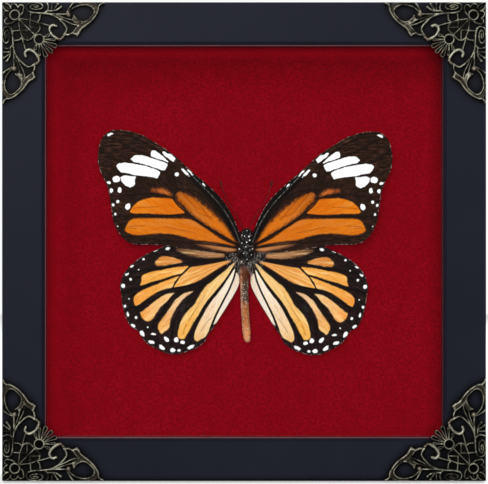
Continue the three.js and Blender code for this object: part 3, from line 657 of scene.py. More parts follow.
bronze = Finish("Antique bronze plate", Metallic=0.85)
height = bronze.attribute("lift")
grime = bronze.noise(bronze.place(), 1500.0, 4.0, 0.65)
patina = bronze.mix(grime, linear(44, 42, 36), linear(88, 84, 74))
rubbed = bronze.mix(grime, linear(206, 202, 178), linear(250, 248, 226))
high = bronze.math("ADD", height, bronze.between(grime, 0.3, 0.7, -0.18, 0.18, smooth=False))
worn = bronze.noise(bronze.place(), 420.0, 2.0, 0.6)
high = bronze.math("ADD", high, bronze.between(worn, 0.36, 0.64, -0.34, 0.14, smooth=False))
plated = bronze.mix(bronze.between(high, 0.34, 0.92), patina, rubbed)
plated = bronze.mix(bronze.between(height, 0.16, 0.5), linear(10, 9, 8), plated)
copper = bronze.mix(grime, linear(98, 74, 58), linear(150, 116, 94))
bronze.set(
    Base_Color=bronze.mix(bronze.attribute("glow"), plated, copper),
    Roughness=bronze.between(grime, 0.3, 0.7, 0.3, 0.48),
    Normal=bronze.bump(grime, 0.06 * MM, 0.5),
)
half_wide, half_tall = cad_box[1][0] / MM, MIDDLE
casting_x, casting_y = casting_x * CASTING["cast"], casting_y * CASTING["cast"]
TURNS = {
    "bottom_left": (casting_x - half_wide, casting_y - half_tall),
    "bottom_right": (half_wide - casting_y, casting_x - half_tall),
    "top_right": (half_wide - casting_x, half_tall - casting_y),
    "top_left": (casting_y - half_wide, half_tall - casting_x),
}
for corner, (x, y) in TURNS.items():
    layers = [
        np.stack([x, FACE - heights, MIDDLE + y], axis=-1) * MM
        for heights in (casting_top, np.full(len(x), CASTING["stand"]))
    ]
    casting = plate_of(f"casting_{corner}", *layers, polygons, rim, lift=lift, glow=glow)
    stand_for(casting, f"corner_ornament_{corner}", bronze)

# ---- Wings ----
# Four dry wings of a male common tiger, spread and glued flat: a thin membrane on raised veins, covered with
# scales. The cells between the veins are orange, the veins and margins black with white spots. The forewings
# lie over the hindwings. Points are measured outwards from the body's axis and up from the frame's middle.
WING = {
    "axis": 0.6,  # how far right of the frame's middle the body's axis is
    "step": 0.17,
    "thick": 0.12,
    "vein": 0.07,  # how proud a vein stands
    "rib": 0.3,  # how wide its foot is
    "slack": 0.05,  # how far the membrane sags between the veins
    "wave": 0.06,
    "pouch": 0.35,  # how proud the scent pouch stands
    "bend": 0.4,  # spacing of the points on a smoothed line
    "near": 3.0,  # how far from its lines a wing is measured
}
# how each is set: its reach sideways and upwards, how far it leans in below, and how far right and up it sits
WING_SET = {
    "forewing": {"left": (-1, 1, 0, 0, 0), "right": (0.984, 0.985, 0, 0, 0)},
    "hindwing": {"left": (-1, 1, 0, 0, 0), "right": (0.985, 1, 0.018, -0.45, -0.27)},
}
VELVET_DEPTH = pile_low.y / MM - FACE
LIGHT_ON_WINGS = 1.11  # how bright a white card would be there

FOREWING = {
    "root": (2, -0.8),
    "tip": (-12, 18, 17.8),  # where the tip's scales fan out from, and the level that they begin at
    "heights": (3.1, 2.3),  # at the root and at the margin, above the velvet
    "outline": [
        [1.2, 1.2], [1.9, 2.6], [3.4, 6.2], [5, 9.3], [7.5, 12.6], [11, 15.9], [14.6, 18.9], [18.5, 22.5],
        [21, 24.6], [24.9, 27.1], [28.3, 29.1], [31.7, 30.2], [34.5, 30.6], [36.7, 30.5], [38.4, 29.6],
        [39.6, 28.2], [40.3, 26.1], [40.6, 23.6], [40.5, 21.1], [39.8, 18.9], [38.6, 16.6], [37.7, 14.1],
        [37.2, 11], [36.8, 8.2], [36.3, 5.4], [35.3, 3.2], [33.9, 1.2], [31.9, -0.3], [29.4, -0.8],
        [26.1, -0.8], [22.4, -1.1], [18.8, -1.7], [14.9, -2.2], [10.7, -2.8], [6.5, -3.2], [3.7, -3.2],
        [1.4, -2.7],
    ],
    # each cell: its colour at the root's side and at the margin's, how smoky its edge is, and its outline
    "cells": {
        "discal": ((228, 124, 14), (188, 96, 12), 0.75, [
            [2.1, -0.8], [4, 1.5], [5.9, 4.4], [7.5, 6], [10.1, 8.6], [12.3, 10.4], [14.4, 11.9],
            [16.4, 12.9], [18.1, 13.4], [18.9, 13], [18.5, 11.6], [16.8, 9.6], [14.9, 7.7], [12.6, 5.9],
            [9.8, 4], [7, 2.4], [4.2, 0.4]]),
        "patch": ((214, 116, 44), (176, 88, 34), 0.7, [
            [25.8, 14.1], [23.8, 14.4], [22.1, 14.2], [21.3, 13.4], [20.3, 12.4], [22.1, 12.9],
            [23.8, 13.4]]),
        "median": ((222, 116, 12), (236, 138, 26), 0.2, [
            [31.8, 8.1], [30.8, 9.9], [28.9, 11.3], [26.3, 12], [23.3, 12], [19.9, 11.5], [18.5, 10.2],
            [16.8, 8.2], [17, 7.5], [23.3, 7.5], [27.7, 7.7], [31.1, 7.8]]),
        "cubital": ((216, 114, 12), (226, 128, 22), 0.22, [
            [33.2, 3.3], [32.7, 4.6], [31.7, 5.9], [30.3, 6.3], [26.1, 6.4], [19.1, 6.3], [15.4, 6.1],
            [12.6, 4.6], [9.3, 2.4], [6.5, 0.5], [3.1, -1.1], [6.5, -0.5], [10.7, 0.1], [14.9, 0.6],
            [17.7, 1.5], [22.1, 2.2], [26.1, 2.1], [29.4, 1.8], [31.7, 2.1], [32.8, 2.7]]),
        "anal": ((206, 138, 84), (132, 84, 56), 0.4, [
            [13.8, -0.6], [10.7, -0.5], [6.5, -1.3], [2.8, -2.2], [4.2, -2.7], [7.9, -2.2], [11.2, -1.5]]),
    },
    "marks": [
        [[35.6, 20.7], [35, 21.5], [33.3, 21.7], [31.7, 21.5], [28.3, 21], [24.9, 20], [23.5, 19.1],
         [23.7, 18.2], [24.4, 17.2], [26.1, 17.3], [29.4, 17.9], [32.2, 18.6], [34.2, 18.9], [35.2, 19.7]],
        [[31.7, 22.6], [30.8, 23.6], [29.1, 23.8], [27.2, 23.5], [24.9, 22.6], [22.1, 21.7], [21.4, 21.1],
         [22.3, 19.4], [23.5, 19.6], [25.5, 20.3], [28.3, 21.2], [30.8, 21.7]],
        [[26.3, 24.2], [25.8, 25], [24.9, 25], [23.5, 24], [22.1, 22.8], [21.3, 21.9], [21.6, 21.4],
         [23.3, 22.1], [24.9, 22.8], [26.1, 23.3]],
        [[23.1, 24.4], [22.7, 24.8], [21.3, 24.1], [20.5, 24], [19.3, 22.8], [19.9, 21.7], [20.7, 22.2],
         [22.1, 23.2]],
        [[34.5, 17.7], [33.2, 18.3], [30.1, 18], [30.4, 16.9], [30.4, 15.5], [31.9, 14.7], [33.2, 15.4],
         [34.3, 16.6]],
    ],
    # white spots: middle, half width, half height, turn in degrees
    "spots": [
        (35.6, 17.1, 1.1, 0.95, 0), (37.7, 16.2, 0.67, 0.45, 35), (36.9, 14, 0.5, 0.76, 0),
        (34.7, 14.1, 0.62, 0.84, 0), (36.4, 10.1, 0.42, 0.56, -20), (35.2, 11, 0.48, 0.53, 20),
        (32.4, 9.6, 0.73, 1, 15), (35.8, 7.5, 0.42, 0.5, -20), (35.2, 4.2, 0.25, 0.28, 0),
        (33.6, 1.8, 0.22, 0.22, 0), (37.3, 29.4, 0.87, 0.45, -25), (16.7, 19, 1.6, 0.42, 48),
        (15.4, 19.1, 1.4, 0.34, 48), (19, 18.4, 0.62, 0.62, 0), (11.7, 15.7, 0.67, 0.31, 45),
    ],
    # veins: half width at the root and at the margin, and the way they run
    "veins": [
        (0.3, 0.16, [[2, -1], [9.5, 3.2], [16, 7.6], [20, 12], [19, 14]]),
        (0.3, 0.14, [[2, 0.6], [7, 7.4], [13, 13.4], [19, 14.6]]),
        (0.16, 0.12, [[19.5, 13.5], [24, 16.9], [30.2, 18], [37.8, 18.6]]),
        (0.14, 0.12, [
            [19, 14.2], [22.5, 18.9], [25.3, 20.1], [28.3, 21.1], [31, 21.7], [34.5, 22.2], [40.2, 25]]),
        (0.14, 0.12, [[19, 15], [21.3, 21.2], [24.9, 22.7], [27.4, 23.6], [37, 28.4]]),
        (0.12, 0.1, [[19.6, 20.6], [20.6, 21.8], [22, 22.9], [23.6, 24.6], [33, 30]]),
        (0.16, 0.12, [[20, 12.2], [26, 13.2], [33, 12.6], [37.2, 12.4]]),
        (0.22, 0.14, [[16.5, 7.6], [23, 7], [33, 7], [36.6, 7]]),
        (0.16, 0.12, [[2, -1.8], [12, -0.6], [25, 0.6], [34.5, 1.8]]),
    ],
    "creases": [
        [[9, 6.6], [12.7, 7.7], [14.4, 9.7], [16.1, 11.6], [17.7, 13.9]],
        [[9.6, 6], [11.8, 8.8], [13.8, 11.1], [16.1, 13.3]],
        [[11, 9.6], [13.4, 12]],
        [[24, 9.6], [31, 9.2]],
        [[28, 4.3], [32, 4.2]],
        [[30, 3.6], [32.6, 3.7]],
        [[14, 2.4], [22, 4]],
    ],
    "costa": [[1.6, -0.6], [3.2, 3.6], [5.4, 7.6], [8.5, 11.6], [11.9, 15.1], [15, 18.3]],
}
HINDWING = {
    "root": (2.8, -4.4),
    "tip": (2.8, -4.4, 99),
    "heights": (2.1, 1.2),
    "outline": [
        [1.8, -3.2], [3, -2.4], [7, -1.4], [12.4, -0.2], [17.1, 0.2], [19.9, -0.2], [22.8, -1.4],
        [24.9, -2.4], [27.3, -3.4], [29.6, -4.8], [31.5, -6.4], [33.2, -8.3], [34.2, -10.4], [34.6, -12.3],
        [34.3, -14.4], [34.1, -16.5], [33.6, -18.9], [32.9, -21.2], [31.5, -23.4], [29.6, -24.5],
        [28.7, -26.2], [27, -28.1], [24.7, -29.3], [22.8, -30.3], [20.7, -30.8], [18.5, -30.8],
        [16.4, -30.2], [14.3, -29.5], [12.9, -28.6], [11.4, -27.4], [10.5, -25.5], [9.2, -23.8], [7.4, -21],
        [5.4, -17.9], [3.8, -15.3], [2.3, -12.4], [1.9, -11], [1.9, -9.2],
    ],
    "cells": {
        "costal": ((204, 146, 98), (128, 88, 64), 0.6, [
            [19, -2.1], [16, -1.9], [12.4, -2.3], [8.9, -2.8], [6.2, -3.3], [6.1, -4], [8.9, -4.3],
            [12, -4.2], [15, -3.7], [17.2, -3.1]]),
        "radial": ((230, 154, 82), (224, 148, 66), 0.3, [
            [25, -5.9], [24.3, -4.7], [22.8, -4], [21.4, -3.9], [20, -4.1], [18.8, -4.7], [17.6, -5.4],
            [18.1, -5.9], [19.5, -6.1], [21.4, -6.4], [23.3, -6.6], [24.5, -6.5]]),
        "medial 1": ((252, 184, 92), (250, 176, 76), 0.12, [
            [28.6, -9.4], [27.4, -8.7], [25.4, -8.1], [23, -7.7], [20.7, -7.2], [18.3, -6.9], [15.8, -6.8],
            [16.6, -7.7], [17.6, -8.7], [19.3, -9.1], [21.2, -9.7], [23.4, -10.4], [26.1, -11.1],
            [28, -11.8], [29.2, -12], [28.8, -10.9]]),
        "medial 2": ((252, 184, 90), (248, 162, 66), 0.12, [
            [30.9, -15.6], [30.4, -14.6], [29.2, -13.7], [27.6, -12.9], [25.7, -12.1], [23.6, -11.3],
            [21.4, -10.4], [19.8, -9.8], [18.3, -9.4], [18.9, -10.2], [19.6, -11.2], [20.2, -12.5],
            [21.9, -12.9], [23.6, -13.5], [25.5, -14.5], [27.3, -15.7], [29, -17], [30.2, -17.8],
            [30.8, -16.8]]),
        "discal": ((230, 150, 64), (250, 184, 92), 0.1, [
            [19.9, -12.5], [19.5, -11.8], [18.9, -10.9], [18.3, -9.9], [17.3, -8.9], [16.3, -8], [15.2, -7],
            [13.9, -6.8], [11.5, -6.4], [9.3, -6], [6.3, -5.4], [4.2, -5], [4, -5.3], [6.1, -6.5],
            [8.3, -7.8], [10, -8.9], [11.4, -9.8], [13, -10.7], [14.6, -11.4], [16.2, -11.9], [18.4, -12.4]]),
        "medial 3": ((252, 218, 164), (252, 168, 66), 0.16, [
            [29, -19.4], [28, -18.7], [26.9, -17.8], [24.8, -16.1], [23.1, -14.9], [21.7, -14.3],
            [20.2, -14.1], [19.5, -14.2], [20.8, -15.4], [21.5, -16.2], [22.4, -17], [23.5, -18],
            [24.9, -20], [25.4, -20.9], [26.2, -21.6], [27.3, -21.9], [28.5, -21], [29, -20.1]]),
        "cubital 1": ((240, 202, 164), (250, 178, 76), 0.16, [
            [23.2, -25.4], [24.2, -23.9], [24.1, -22.6], [23.5, -21.7], [22.2, -20], [20.8, -18],
            [19.5, -16], [18.5, -15.2], [17.4, -14.4], [16, -13.8], [14.4, -13.6], [15.1, -14.1],
            [16.2, -14.9], [17.4, -15.9], [18.3, -17], [19, -18], [19.6, -19], [20.1, -20], [20.7, -21.2],
            [20.9, -22.4], [21.1, -23.6], [21.8, -24.3], [22.6, -24.8]]),
        "cubital 2": ((250, 212, 144), (252, 190, 88), 0.14, [
            [18.7, -26.3], [18.8, -25.4], [18.6, -24], [18, -22], [16.9, -20], [15.9, -18.9], [15.2, -18.1],
            [14.3, -17.3], [13.6, -16], [12.4, -14], [10.9, -12], [9.7, -11.1], [8.4, -10], [7.2, -9],
            [5.9, -8], [4.4, -6.6], [3.5, -5.7], [3.1, -5.9], [3.4, -6.7], [4.2, -8], [4.9, -9.1],
            [5.5, -10], [6.3, -11], [7.1, -12], [8.8, -14], [10.5, -16], [11.9, -18], [13, -20],
            [14.3, -22], [15.4, -24], [16.3, -25.6], [17.1, -26.7], [17.9, -26.7]]),
        "anal 1": ((255, 252, 244), (247, 198, 128), 0.1, [
            [14.2, -26.9], [14.3, -26], [13.8, -24], [12.9, -22], [11.8, -20], [10.7, -18], [9.3, -16],
            [7.7, -14], [6.2, -12], [5, -10], [3.9, -8.4], [3.2, -7.4], [3, -8], [3.3, -9.2], [3.7, -10.4],
            [4.3, -12], [5.3, -14], [6.3, -16], [7.4, -18], [8.5, -20], [9.3, -22], [10.1, -24],
            [11.1, -26], [12.4, -26.8], [13.6, -27.4]]),
        "anal 2": ((236, 226, 218), (255, 252, 246), 0.08, [
            [9, -22.8], [8.8, -22], [8, -20], [7.1, -18], [6, -16], [5, -14], [4.1, -12], [3.3, -10],
            [2.8, -8.4], [2.2, -8.8], [1.5, -10.4], [1.9, -12], [3, -14], [4.2, -16], [5.4, -18],
            [6.7, -20], [7.9, -22]]),
    },
    "marks": [],
    "spots": [
        (21.5, -1.9, 0.8, 0.47, -12), (24.7, -2.5, 0.61, 0.19, -20), (28.2, -4.8, 0.35, 0.42, 0),
        (31.3, -6.7, 0.66, 0.33, -35), (32.7, -8.9, 0.66, 0.4, -40), (33.8, -12.1, 0.61, 0.61, 0),
        (33.3, -17.7, 0.42, 0.5, -20), (32.5, -19.9, 0.38, 0.8, -5), (31, -23.1, 0.8, 0.42, 25),
        (28.6, -25.2, 0.54, 0.99, -30), (26, -27.6, 0.94, 0.52, 10), (23.2, -29, 0.99, 0.57, 40),
        (20.2, -29.8, 0.78, 0.61, 0), (18.5, -29.8, 0.47, 0.47, 0), (15.2, -28.9, 1.2, 0.52, -25),
        (29.5, -7.8, 0.24, 0.24, 0), (31.7, -10.4, 0.47, 0.38, 30), (32.2, -15.7, 0.26, 0.38, -20),
        (30.3, -20.8, 0.47, 0.42, 40), (27, -23.5, 0.33, 0.31, 20), (25.4, -25.4, 0.71, 0.38, 0),
        (21.9, -26.8, 0.94, 0.59, 40), (19.2, -26.9, 0.71, 0.66, 0), (17.5, -27.6, 0.78, 0.54, 5),
    ],
    "veins": [
        (0.2, 0.14, [[3, -4.4], [15, -4.9], [26, -2.9]]),
        (0.22, 0.14, [[3, -4.8], [10, -5.3], [17, -5.9], [24, -7.2], [33.4, -8.6]]),
        (0.09, 0.09, [[15.3, -6.6], [16.8, -8], [18.6, -10], [19.9, -12], [20.1, -12.7]]),
        (0.08, 0.28, [[17.6, -8.9], [21.2, -10.1], [24.7, -11.2], [27.4, -12.2], [34.4, -14]]),
        (0.28, 0.14, [
            [3.4, -5.4], [7.1, -8], [9.9, -10], [13, -11.6], [20.2, -13], [25, -15.7], [33.6, -19]]),
        (0.2, 0.14, [[15, -12.8], [19.7, -14.4], [23, -19], [26, -23]]),
        (0.24, 0.14, [[11, -11.2], [14, -13.5], [17.5, -18], [19.8, -22], [20.6, -28]]),
        (0.22, 0.2, [[3.4, -7], [5.2, -10], [6.7, -12], [8.3, -14], [9.9, -16], [11.3, -18], [12.4, -20],
                     [13.6, -22], [14.5, -24], [15.4, -26], [15.3, -28]]),
        (0.2, 0.22, [[2.9, -8], [3.4, -10], [4.2, -12], [5.1, -14], [6.2, -16], [7.2, -18], [8.2, -20],
                      [9.1, -22], [9.8, -23.8]]),
    ],
    "creases": [
        [[17.4, -25.3], [16.5, -22.9]],
        [[15.7, -21.7], [13.4, -17.7], [11.2, -14.6]],
        [[12.4, -24.6], [11, -22.4], [9.6, -20.8]],
    ],
    "pouch": (17.3, -18.2, 0.75, 1.6, 28),  # the male's scent pouch, as a spot
    # the pale fur: its reach from the root and above it, and its hem along the inner margin
    "fur": {
        "reach": 3.6, "fade": 1.8, "above": 2.2,
        "hem": 0.9, "hem_low": -11.5, "hem_fade": 3, "hem_share": 1.4,
    },
}


def oval(x, y, middle_x, middle_y, wide, tall, turn):
    """How far each point lies inside a tilted oval; negative outside."""
    turn = math.radians(turn)
    ahead = (x - middle_x) * math.cos(turn) + (y - middle_y) * math.sin(turn)
    aside = (y - middle_y) * math.cos(turn) - (x - middle_x) * math.sin(turn)
    out = np.hypot(ahead / wide, aside / tall)
    return (1 - out) * min(wide, tall)


def wing_sheet(wing):
    """Cuts a wing from the grid, and works out what its scales show at each point."""
    outline = smooth_path(wing["outline"], WING["bend"], closed=True)
    low, high = outline.min(0) - 3 * WING["step"], outline.max(0) + 3 * WING["step"]
    x, y = np.meshgrid(*(np.arange(a, b, WING["step"]) for a, b in zip(low, high)))
    margin = wide_within(outline, x, y, 60)
    cells, marks, pouch = (np.full(x.shape, OUTSIDE) for _ in range(3))
    veins, costa, creases = (np.full(x.shape, -OUTSIDE) for _ in range(3))
    tint, smoke, fur = np.zeros((*x.shape, 3)), np.full(x.shape, 0.3), np.zeros(x.shape)
    root_x, root_y = wing["root"]
    away = np.hypot(x - root_x, y - root_y)
    for near, far, haze, points in wing["cells"].values():
        line = smooth_path(points, WING["bend"], closed=True)
        inside = wide_within(line, x, y, 4.0)
        reach = np.hypot(line[:, 0] - root_x, line[:, 1] - root_y)
        part = np.clip((away - reach.min()) / np.ptp(reach), 0, 1)[..., None] ** 1.4
        colour = np.array(linear(*near)[:3]) * (1 - part) + np.array(linear(*far)[:3]) * part
        nearer = inside > cells
        tint[nearer] = colour[nearer]
        smoke[nearer] = haze
        cells = np.maximum(cells, inside)
    for points in wing["marks"]:
        marks = np.maximum(marks, wide_within(np.array(points, float), x, y, 3.0))
    for spot in wing["spots"]:
        marks = np.maximum(marks, oval(x, y, *spot))
    for wide, narrow, points in wing["veins"]:
        distance, half = reach_along(smooth_path(points, WING["bend"]), x, y, [wide, narrow], WING["near"])
        veins = np.minimum(veins, distance - half)
    marks = np.minimum(marks, veins + 0.02)
    if "costa" in wing:
        costa, _ = reach_along(smooth_path(wing["costa"], WING["bend"]), x, y, [1, 1], WING["near"])
    for points in wing["creases"]:
        distance, _ = reach_along(smooth_path(points, WING["bend"]), x, y, [1, 1], WING["near"])
        creases = np.minimum(creases, distance)
    if "pouch" in wing:
        pouch = oval(x, y, *wing["pouch"])
    # higher at the root than at the margin, ribbed by the veins and slack between them
    at_root, at_margin = wing["heights"]
    rise = at_root - (at_root - at_margin) * (away / away[margin > 0].max()) ** 2
    rise += WING["vein"] * np.exp(-((np.maximum(veins, 0) / WING["rib"]) ** 2))
    rise -= WING["slack"] * np.clip(veins / 2.5, 0, 1)
    rise += WING["wave"] * wandering(x.shape, 9.0, 5)
    rise += WING["pouch"] * np.clip(pouch / 0.75, 0, 1) ** 0.5
    # the scales lie along lines from the root, and beyond the tip's break along lines from a point behind it
    behind, level, tip = wing["tip"]
    from_x, from_y = np.where(y > tip, behind, root_x), np.where(y > tip, level, root_y)
    round_it = np.arctan2(y - from_y, x - from_x) * 30
    along = np.stack([round_it, np.hypot(x - from_x, y - from_y), 0 * x], axis=-1)
    if "fur" in wing:
        patch = wing["fur"]
        by_body = np.clip((patch["hem"] - margin) / patch["hem"], 0, 1) * (x < patch["reach"])
        by_body = by_body * np.clip((y - patch["hem_low"]) / patch["hem_fade"], 0, 1) * (y < root_y)
        at_base = np.clip((patch["reach"] - away) / patch["fade"], 0, 1) * (y < root_y + patch["above"])
        fur = np.maximum(at_base, patch["hem_share"] * by_body)
    facts = {
        "margin": margin, "cells": cells, "smoke": smoke, "marks": marks, "veins": veins, "costa": costa,
        "creases": creases, "tint": tint, "along": along, "pouch": pouch, "fur": fur,
    }
    take, polygons, rim = cut_sheet(margin)
    facts = {name: take(values) for name, values in facts.items()}
    return take(x), take(y), take(rise), polygons, rim, facts


def scales_of(name, dark, brown, pale):
    """The finish of a wing: coloured cells on black, smoky edges, white spots and the lie of the scales."""
    scales = Finish(name, Roughness=0.75, Specular_IOR_Level=0.1)
    run = scales.attribute("along", "Vector")
    fine = scales.noise(scales.add("Mapping", {"Vector": run, "Scale": (3.4, 0.45, 1)}), 1.0, 3.0, 0.6)
    fray = scales.noise(scales.add("Mapping", {"Vector": run, "Scale": (1.3, 0.9, 1)}), 1.0, 4.0, 0.75)
    dust = scales.noise(scales.place(), 2400.0, 2.0, 0.7)
    broad = scales.noise(scales.place(), 130.0, 3.0, 0.6)
    # black ground, browner and streaked where the scales are thin
    ground = scales.mix(scales.between(fine, 0.42, 0.72), linear(*dark), linear(*brown))
    ground = scales.mix(scales.between(broad, 0.35, 0.7, 0.0, 0.6), ground, linear(*dark))
    # coloured cells, streaked along the wing, with a frayed edge
    tint = scales.add("Attribute", {}, out="Vector", attribute_name="tint")
    drift = scales.noise(scales.add("Mapping", {"Vector": run, "Scale": (0.7, 0.11, 1)}), 1.0, 2.0, 0.5)
    brown_streak = scales.between(fine, 0.3, 0.56, 0.6, 0.0)
    streaky = scales.mix(brown_streak, tint, (0.72, 0.56, 0.4, 1), blend="MULTIPLY")
    bare_fleck = scales.between(dust, 0.35, 0.65, 0.4, 0.0)
    streaky = scales.mix(bare_fleck, streaky, (0.78, 0.7, 0.6, 1), blend="MULTIPLY")
    streaky = scales.mix(scales.between(drift, 0.46, 0.66, 0.0, pale), streaky, linear(255, 220, 158))
    warm_streak = scales.between(drift, 0.3, 0.48, 0.75, 0.0)
    streaky = scales.mix(warm_streak, streaky, (0.97, 0.78, 0.5, 1), blend="MULTIPLY")
    crease = scales.between(scales.attribute("creases"), 0.0, 0.26, 0.75, 0.0)
    streaky = scales.mix(crease, streaky, (0.5, 0.36, 0.25, 1), blend="MULTIPLY")
    ragged = scales.between(fray, 0.25, 0.75, -1.0, 1.0, smooth=False)
    ragged = scales.math("MULTIPLY", ragged, scales.attribute("smoke"))
    inside = scales.math("ADD", scales.attribute("cells"), ragged)
    blur = scales.math("MULTIPLY", scales.attribute("smoke"), 0.8)
    shown = scales.between(inside, scales.math("SUBTRACT", -0.02, blur), scales.math("ADD", 0.14, blur))
    face = scales.mix(shown, ground, streaky)
    # black veins over them
    vein = scales.between(scales.attribute("veins"), -0.02, 0.14, 0.92, 0.0)
    face = scales.mix(vein, face, linear(*dark))
    # the leading edge: jet black, with a painted highlight in a thin line along its main vein
    face = scales.mix(scales.between(scales.attribute("costa"), 0.9, 1.7, 0.85, 0.0), face, linear(9, 8, 8))
    line = scales.between(scales.attribute("costa"), 0.03, 0.16, 0.75, 0.0)
    line = scales.math("MULTIPLY", line, scales.between(fray, 0.42, 0.6))
    face = scales.mix(line, face, linear(150, 156, 150))
    # white spots, and the chequered fringe of the margin
    nick = scales.between(fray, 0.3, 0.7, -0.2, 0.12, smooth=False)
    white = scales.between(scales.math("ADD", scales.attribute("marks"), nick), -0.03, 0.09)
    face = scales.mix(white, face, linear(255, 255, 255))
    fringe = scales.between(scales.attribute("margin"), 0.04, 0.22, 0.6, 0.0)
    chequer = scales.between(scales.noise(scales.place(), 1300.0, 2.0), 0.52, 0.62)
    fringe = scales.math("MULTIPLY", fringe, chequer)
    face = scales.mix(fringe, face, linear(186, 164, 160))
    swelling = scales.between(scales.attribute("pouch"), 0.0, 0.2)
    pouch_black = scales.mix(scales.between(dust, 0.4, 0.6), linear(12, 11, 11), linear(50, 47, 46))
    face = scales.mix(swelling, face, pouch_black)
    scales.set(
        Base_Color=scales.mix(1.0, face, (1 / LIGHT_ON_WINGS,) * 3 + (1.0,), blend="MULTIPLY"),
        Roughness=scales.between(dust, 0.3, 0.7, 0.6, 0.85),
        Normal=scales.bump(fine, 0.05 * MM, 0.6),
    )
    return scales


for kind, wing, dark, brown, pale in (
    ("forewing", FOREWING, (27, 16, 11), (80, 50, 36), 0.05),
    ("hindwing", HINDWING, (19, 13, 13), (62, 42, 40), 0.5),
):
    x, y, rise, polygons, rim, facts = wing_sheet(wing)
    scales = scales_of(f"{kind.capitalize()} scales", dark, brown, pale)
    for side, (reach, taller, lean, right, up) in WING_SET[kind].items():
        across = WING["axis"] + reach * x + lean * y + right
        level = taller * y + up
        order = [p if side == "right" else p[:, ::-1] for p in polygons]
        edges = rim if side == "right" else rim[:, ::-1]
        front = np.stack([across, FACE + VELVET_DEPTH - rise, MIDDLE + level], axis=-1) * MM
        back = front + [0, WING["thick"] * MM, 0]
        made = plate_of(f"{kind}_{side}_scaled", front, back, order, edges, **facts)
        stand_for(made, f"{kind}_{side}", scales)

# ---- Antennae ----
# Two thin jointed feelers from the top of the head, each ending in a slim club, held a little above the
# velvet. The path's points are measured out from the body's axis, up from the frame's middle and above the
# velvet.
ANTENNA = {
    "path": [
        [0.6, 3.3, 3], [1.6, 5.2, 3.3], [3.4, 8.5, 3.5], [5.3, 11.2, 3.6], [6.1, 13.4, 3.6],
        [6.6, 14.9, 3.45], [7.2, 16.9, 3.3],
    ],
    "radius": 0.08,
    "club": 0.22,
    "club_at": 0.93,  # of the length, as are the next two
    "club_long": 0.055,
    "tip_long": 0.02,
    "joint": 0.3,
    "groove": 0.12,  # of the radius
    "step": 0.12,
    "sides": 10,
}
feeler = Finish("Dark feeler", Roughness=0.55, Specular_IOR_Level=0.4)
ring_tone = feeler.noise(feeler.place(), 2600.0)
feeler.set(Base_Color=feeler.mix(ring_tone, linear(22, 8, 9), linear(58, 22, 24)))


def ring_walls(rings, sides):
    """The numbers of a tube's points, ring by ring, and the quads between the rings."""
    number = np.arange(rings * sides).reshape(rings, sides)
    beside = np.roll(number, -1, axis=1)
    return number, np.stack([number[:-1], beside[:-1], beside[1:], number[1:]], axis=-1).reshape(-1, 4)


def tube_of(name, line, radii, sides):
    """A closed round tube along a line of points, in metres."""
    along = np.gradient(line, axis=0)
    along /= np.linalg.norm(along, axis=1, keepdims=True)
    out = np.cross(along, [0, 1, 0])
    out /= np.linalg.norm(out, axis=1, keepdims=True)
    over = np.cross(along, out)
    turn = np.linspace(0, 2 * math.pi, sides, endpoint=False)
    ring = out[:, None] * np.cos(turn)[None, :, None] + over[:, None] * np.sin(turn)[None, :, None]
    points = (line[:, None] + ring * radii[:, None, None]).reshape(-1, 3)
    number, walls = ring_walls(len(line), sides)
    return mesh_of(name, points, [walls, number[:1, ::-1], number[-1:]], angle=60)


for side, way in (("left", -1), ("right", 1)):
    bend = smooth_path(ANTENNA["path"], ANTENNA["step"])
    part = np.linspace(0, 1, len(bend))
    club = np.exp(-(((part - ANTENNA["club_at"]) / ANTENNA["club_long"]) ** 2))
    joint = np.sin(2 * math.pi * part * len(bend) * ANTENNA["step"] / ANTENNA["joint"]) > 0.6
    radii = ANTENNA["radius"] * (1 - ANTENNA["groove"] * joint) + club * (ANTENNA["club"] - ANTENNA["radius"])
    radii = radii * np.sqrt(np.clip((1 - part) / ANTENNA["tip_long"], 0.05, 1))
    line = np.stack(
        [WING["axis"] + way * bend[:, 0], FACE + VELVET_DEPTH - bend[:, 2], MIDDLE + bend[:, 1]], axis=-1
    )
    antenna = tube_of(f"antenna_{side}_jointed", line * MM, radii * MM, ANTENNA["sides"])
    stand_for(antenna, f"antenna_{side}", feeler)

